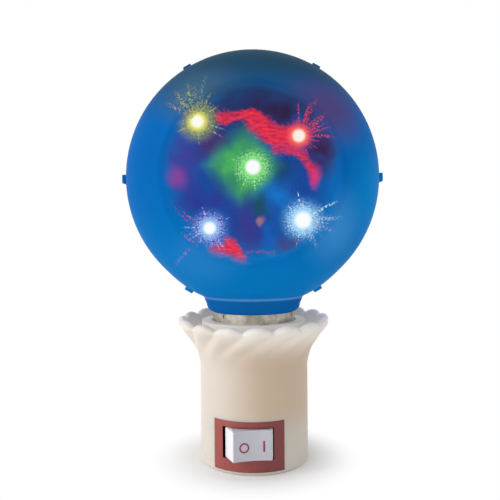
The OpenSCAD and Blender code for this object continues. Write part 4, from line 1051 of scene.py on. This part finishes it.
class DISCO_OT_film(bpy.types.Operator):
    """Gives the starburst film and the LEDs behind it their light"""
    bl_idname = "disco.film"
    bl_label = "Film and LEDs"

    def execute(self, context):
        dress("starburst_film", starburst_film_finish(context.scene.disco_bulb))
        # Clear epoxy LED lenses with a lit chip: glossy, strongly coloured and bright
        for name, light in (("yellow", "#ffe94a"), ("red", "#ff4a38"), ("green", "#5ef060"),
                            ("blue_left", "#cfeaff"), ("blue_right", "#cfeaff")):
            lens = mottled("lit_epoxy_" + name, linear(light), linear(light), 2, 0.12, grain=0.8,
                           more={"Emission Color": linear(light), "Emission Strength": 0.9})
            dress("led_" + name, lens)
        return {"FINISHED"}


# Finishes of parts that keep their CAD shape: name, light and dark tone, size of the patches in millimetres,
# roughness, metallic, size of the grain and depth of its bumps in millimetres, and the CAD nodes
FINISHES = (
    # Spun aluminium: dull, with faint turning marks and stains
    ("spun_aluminium", "#f2ecdc", "#554c40", 2.6, 0.42, 0.7, 0.25, 0.05, ("lamp_cap",)),
    # Drawn brass and plated steel: smooth metals with slight stains
    ("drawn_brass", "#d9b15a", "#b88c3c", 2, 0.32, 1, 0.3, 0.02,
     ("contact_sleeves", "contact_plungers", "contact_bridge", "supply_terminal", "load_terminal",
      "rocker_plunger", "cap_contacts", "bayonet_pins")),
    ("zinc_plated_steel", "#b9bcc0", "#94979c", 1.5, 0.34, 1, 0.3, 0.02, ("rocker_spring", "cover_screws")),
    # Moulded nylon and phenolic: plain and satin
    ("white_nylon", "#e6e6e4", "#d8d8d6", 3, 0.45, 0, 0.4, 0.02, ("film_posts",)),
    ("black_phenolic", "#26262a", "#17171a", 3, 0.5, 0, 0.4, 0.02,
     ("switch_housing", "cap_insulator", "bridge_rectifier", "flasher_chip")),
    # Fibreglass board under a dark blue lacquer: satin, with a faint weave-like mottle
    ("lacquered_fibreglass", "#2a2f6e", "#1d2150", 2, 0.45, 0, 0.4, 0.02, ("led_board",)),
    # Dipped, sleeved and lacquered components: smooth, slightly uneven coats
    ("epoxy_dipped_film", "#b8962e", "#9c7a22", 2, 0.35, 0, 0.5, 0.02, ("dropper_capacitor",)),
    ("shrink_sleeve", "#1c2c58", "#141f42", 3, 0.35, 0, 0.5, 0.02, ("smoothing_capacitor",)),
    ("lacquered_resistor", "#c9a878", "#ad8c5e", 1.5, 0.45, 0, 0.3, 0.02,
     ("fusible_resistor", "led_resistors")),
    # Soft PVC wire insulation: even colour and a dull sheen
    ("pvc_supply_wire", "#6b3f22", "#583219", 1.5, 0.45, 0, 0.3, 0.02, ("supply_wire",)),
    ("pvc_switched_wire", "#6b3f22", "#583219", 1.5, 0.45, 0, 0.3, 0.02, ("switched_wire",)),
    ("pvc_return_wire", "#2f5f9e", "#244c82", 1.5, 0.45, 0, 0.3, 0.02, ("return_wire",)),
    ("pvc_cap_leads", "#a8322c", "#8c2722", 1.5, 0.45, 0, 0.3, 0.02, ("cap_leads",)),
)
# Distance of the sleeves' ends on the plug pins from the tube's axis, and the length over which they fade
SLEEVE_END, SLEEVE_FADE = 26.4, 0.2


class DISCO_OT_small_parts(bpy.types.Operator):
    """Gives the small parts their finishes, and the plug block, the cover and the springs softened copies"""
    bl_idname = "disco.small_parts"
    bl_label = "Small parts"

    def execute(self, context):
        for name, light, dark, size, roughness, metallic, grain, height, nodes in FINISHES:
            finish = mottled(name, linear(light), linear(dark), size, roughness, metallic, grain, height)
            for node in nodes:
                dress(node, finish)
        # Moulded polypropylene of the cover and block: satin, in the casing's cream
        cream = context.scene.disco_casing.cream
        shell = mottled("moulded_polypropylene", cream, linear("#d9cfc4"), 9, 0.48, grain=0.5)
        softened_copy("plug_block", shell, "holder", 0.5)
        softened_copy("bottom_cover", shell, "holder", 0.2)
        # Pressed urea of the socket: a denser white, with a painted glow standing in for a little of the
        # bulb's light
        socket = mottled("urea_socket", linear("#ece5da"), linear("#e0d6c8"), 6, 0.45, grain=0.4,
                         more={"Emission Color": linear("#fff0e2"), "Emission Strength": 0.1})
        dress("socket_barrel", socket)
        pin = self.sleeved_pin()
        dress("plug_pin_left", pin)
        dress("plug_pin_right", pin)
        self.springy_coils(context.scene.disco_bulb, bpy.data.materials["zinc_plated_steel"])
        return {"FINISHED"}

    def springy_coils(self, settings, steel):
        """The plungers' springs as one piece, a softened copy with a mesh of its own."""
        coils = softened_copy("plunger_springs", steel, "holder", 0)
        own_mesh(coils)

    def sleeved_pin(self):
        """Nickel-plated brass pins, smooth and stained, with a dull black moulded sleeve at their roots."""
        made, tree, shader, place = new_material("sleeved_nickel_pin")
        stain_size = 2 * MM
        along = add(tree, "SeparateXYZ", {"Vector": place}).outputs["Y"]
        bare = add(tree, "MapRange", {"Value": along, "From Min": SLEEVE_END * MM,
                                      "From Max": (SLEEVE_END + SLEEVE_FADE) * MM})
        stains = add(tree, "TexNoise", {"Vector": place, "Scale": 1 / stain_size, "Detail": 3})
        metal = add(tree, "Mix", {SHARE: stains, BELOW: linear("#a9a59e"), OVER: linear("#c9c6c0")},
                    data_type="RGBA")
        paint = add(tree, "Mix", {SHARE: bare, BELOW: linear("#202124"), OVER: metal}, data_type="RGBA")
        gloss = add(tree, "MapRange", {"Value": bare, "To Min": 0.5, "To Max": 0.26})
        feed(tree, shader, {"Base Color": paint, "Metallic": bare, "Roughness": gloss})
        return made


# Studio, in metres: radius of the floor, where it turns plain white, and the height that the lamps aim at
FLOOR_R = 6
PLAIN_FROM, PLAIN_TO = 0.01, 0.03
LAMP_AIM = 0.055


class DISCO_OT_studio(bpy.types.Operator):
    """Builds the white floor, the soft lamps and the camera at the photograph's angle"""
    bl_idname = "disco.studio"
    bl_label = "Studio"

    def execute(self, context):
        settings = context.scene.disco_stage
        context.scene.view_settings.view_transform = "Standard"
        self.build_floor(context)
        self.build_world(context, settings)
        self.build_lamp(context, "key_lamp", (-0.56, -0.24, 0.28), 0.3, settings.key_power)
        self.build_lamp(context, "fill_lamp", (0.5, -0.3, 0.2), 0.5, settings.fill_power)
        self.build_lamp(context, "low_lamp", (-0.3, -0.42, 0.06), 0.3, settings.low_power)
        self.build_camera(context, settings)
        return {"FINISHED"}

    def seen(self, tree):
        """1 for a ray from the camera, also by way of gloss or glass, and 0 for the light on the object."""
        path = add(tree, "LightPath").outputs
        direct = add(tree, "Math", {0: path["Is Camera Ray"], 1: path["Is Glossy Ray"]}, operation="MAXIMUM")
        return add(tree, "Math", {0: direct, 1: path["Is Transmission Ray"]}, operation="MAXIMUM")

    def white_paper(self):
        """Matt white paper with faint fibres, which shows as plain white away from the object's shadow."""
        made, tree, shader, place = new_material("white_paper")
        fibre_size = 3 * MM
        far = add(tree, "VectorMath", {0: place}, operation="LENGTH")
        away = add(tree, "MapRange", {"Value": far, "From Min": PLAIN_FROM, "From Max": PLAIN_TO},
                   interpolation_type="SMOOTHSTEP")
        fibres = add(tree, "TexNoise", {"Vector": place, "Scale": 1 / fibre_size, "Detail": 3})
        paper = add(tree, "Mix", {SHARE: fibres, BELOW: linear("#f4f4f4"), OVER: linear("#fbfbfb")},
                    data_type="RGBA")
        feed(tree, shader, {"Base Color": paper, "Roughness": 0.9, "Specular IOR Level": 0})
        plain = add(tree, "Emission", {"Color": linear("#ffffff"), "Strength": 1})
        share = add(tree, "Math", {0: away, 1: self.seen(tree)}, operation="MULTIPLY")
        both = add(tree, "MixShader", {0: share, 1: shader, 2: plain})
        feed(tree, tree.nodes["Material Output"], {"Surface": both})
        return made

    def build_floor(self, context):
        """A wide round sheet of white paper under the object."""
        bm = bmesh.new()
        bmesh.ops.create_circle(bm, cap_ends=True, segments=96, radius=FLOOR_R)
        mesh = bpy.data.meshes.new("studio_floor")
        bm.to_mesh(mesh)
        bm.free()
        mesh.materials.append(self.white_paper())
        floor = bpy.data.objects.new("studio_floor", mesh)
        context.scene.collection.objects.link(floor)

    def build_world(self, context, settings):
        """A white background that lights the object evenly, at a lower strength than it shows."""
        world = bpy.data.worlds.new("white_studio")
        context.scene.world = world
        world.use_nodes = True
        tree = world.node_tree
        level = add(tree, "MapRange", {"Value": self.seen(tree), "To Min": settings.sky, "To Max": 1})
        feed(tree, tree.nodes["Background"], {"Color": linear("#ffffff"), "Strength": level})

    def build_lamp(self, context, name, place, size, power):
        """A round soft lamp that aims at the object's middle."""
        lamp = bpy.data.lights.new(name, "AREA")
        lamp.shape = "DISK"
        lamp.size = size
        lamp.energy = power
        holder = bpy.data.objects.new(name, lamp)
        holder.location = place
        aim = Vector((0, 0, LAMP_AIM)) - Vector(place)
        holder.rotation_euler = aim.to_track_quat("-Z", "Y").to_euler()
        context.scene.collection.objects.link(holder)

    def build_camera(self, context, settings):
        """A level camera, fitted to the photograph."""
        lens = bpy.data.cameras.new("camera")
        lens.sensor_width = 36
        lens.lens = lens.sensor_width * settings.lens
        lens.shift_y = settings.lens_shift
        lens.clip_start = 0.005
        camera = bpy.data.objects.new("camera", lens)
        right = Vector((math.cos(settings.azimuth), math.sin(settings.azimuth), 0))
        ahead = Vector((-math.sin(settings.azimuth), math.cos(settings.azimuth), 0))
        place = -ahead * settings.camera_distance - right * settings.camera_left
        place.z = settings.camera_height
        camera.matrix_world = (Matrix.Translation(place * MM) @ Matrix.Rotation(settings.azimuth, 4, "Z")
                               @ Matrix.Rotation(math.radians(90), 4, "X")
                               @ Matrix.Rotation(-settings.roll, 4, "Z"))
        context.scene.collection.objects.link(camera)
        context.scene.camera = camera


# Each settings group with the operators that it is shown with
GROUPS = (
    ("disco_casing", CasingSettings, (DISCO_OT_casing, DISCO_OT_small_parts)),
    ("disco_switch", SwitchSettings, (DISCO_OT_switch,)),
    ("disco_bulb", BulbSettings, (DISCO_OT_ball, DISCO_OT_film)),
    ("disco_stage", StageSettings, (DISCO_OT_studio,)),
)


class DISCO_PT_sidebar(bpy.types.Panel):
    """Lists the pieces and their settings in the sidebar"""
    bl_idname = "DISCO_PT_sidebar"
    bl_label = "Disco ball light"
    bl_space_type = "VIEW_3D"
    bl_region_type = "UI"
    bl_category = "Disco light"

    def draw(self, context):
        for name, group, operators in GROUPS:
            box = self.layout.box()
            for setting in group.__annotations__:
                box.prop(getattr(context.scene, name), setting)
            for operator in operators:
                box.operator(operator.bl_idname)


def register():
    for name, group, operators in GROUPS:
        bpy.utils.register_class(group)
        setattr(bpy.types.Scene, name, PointerProperty(type=group))
        for operator in operators:
            bpy.utils.register_class(operator)
    bpy.utils.register_class(DISCO_PT_sidebar)


def unregister():
    bpy.utils.unregister_class(DISCO_PT_sidebar)
    for name, group, operators in reversed(GROUPS):
        for operator in reversed(operators):
            bpy.utils.unregister_class(operator)
        delattr(bpy.types.Scene, name)
        bpy.utils.unregister_class(group)


def main():
    register()
    bpy.ops.disco.studio()
    bpy.ops.disco.casing()
    bpy.ops.disco.switch()
    bpy.ops.disco.ball()
    bpy.ops.disco.film()
    bpy.ops.disco.small_parts()


if __name__ == "__main__":
    main()
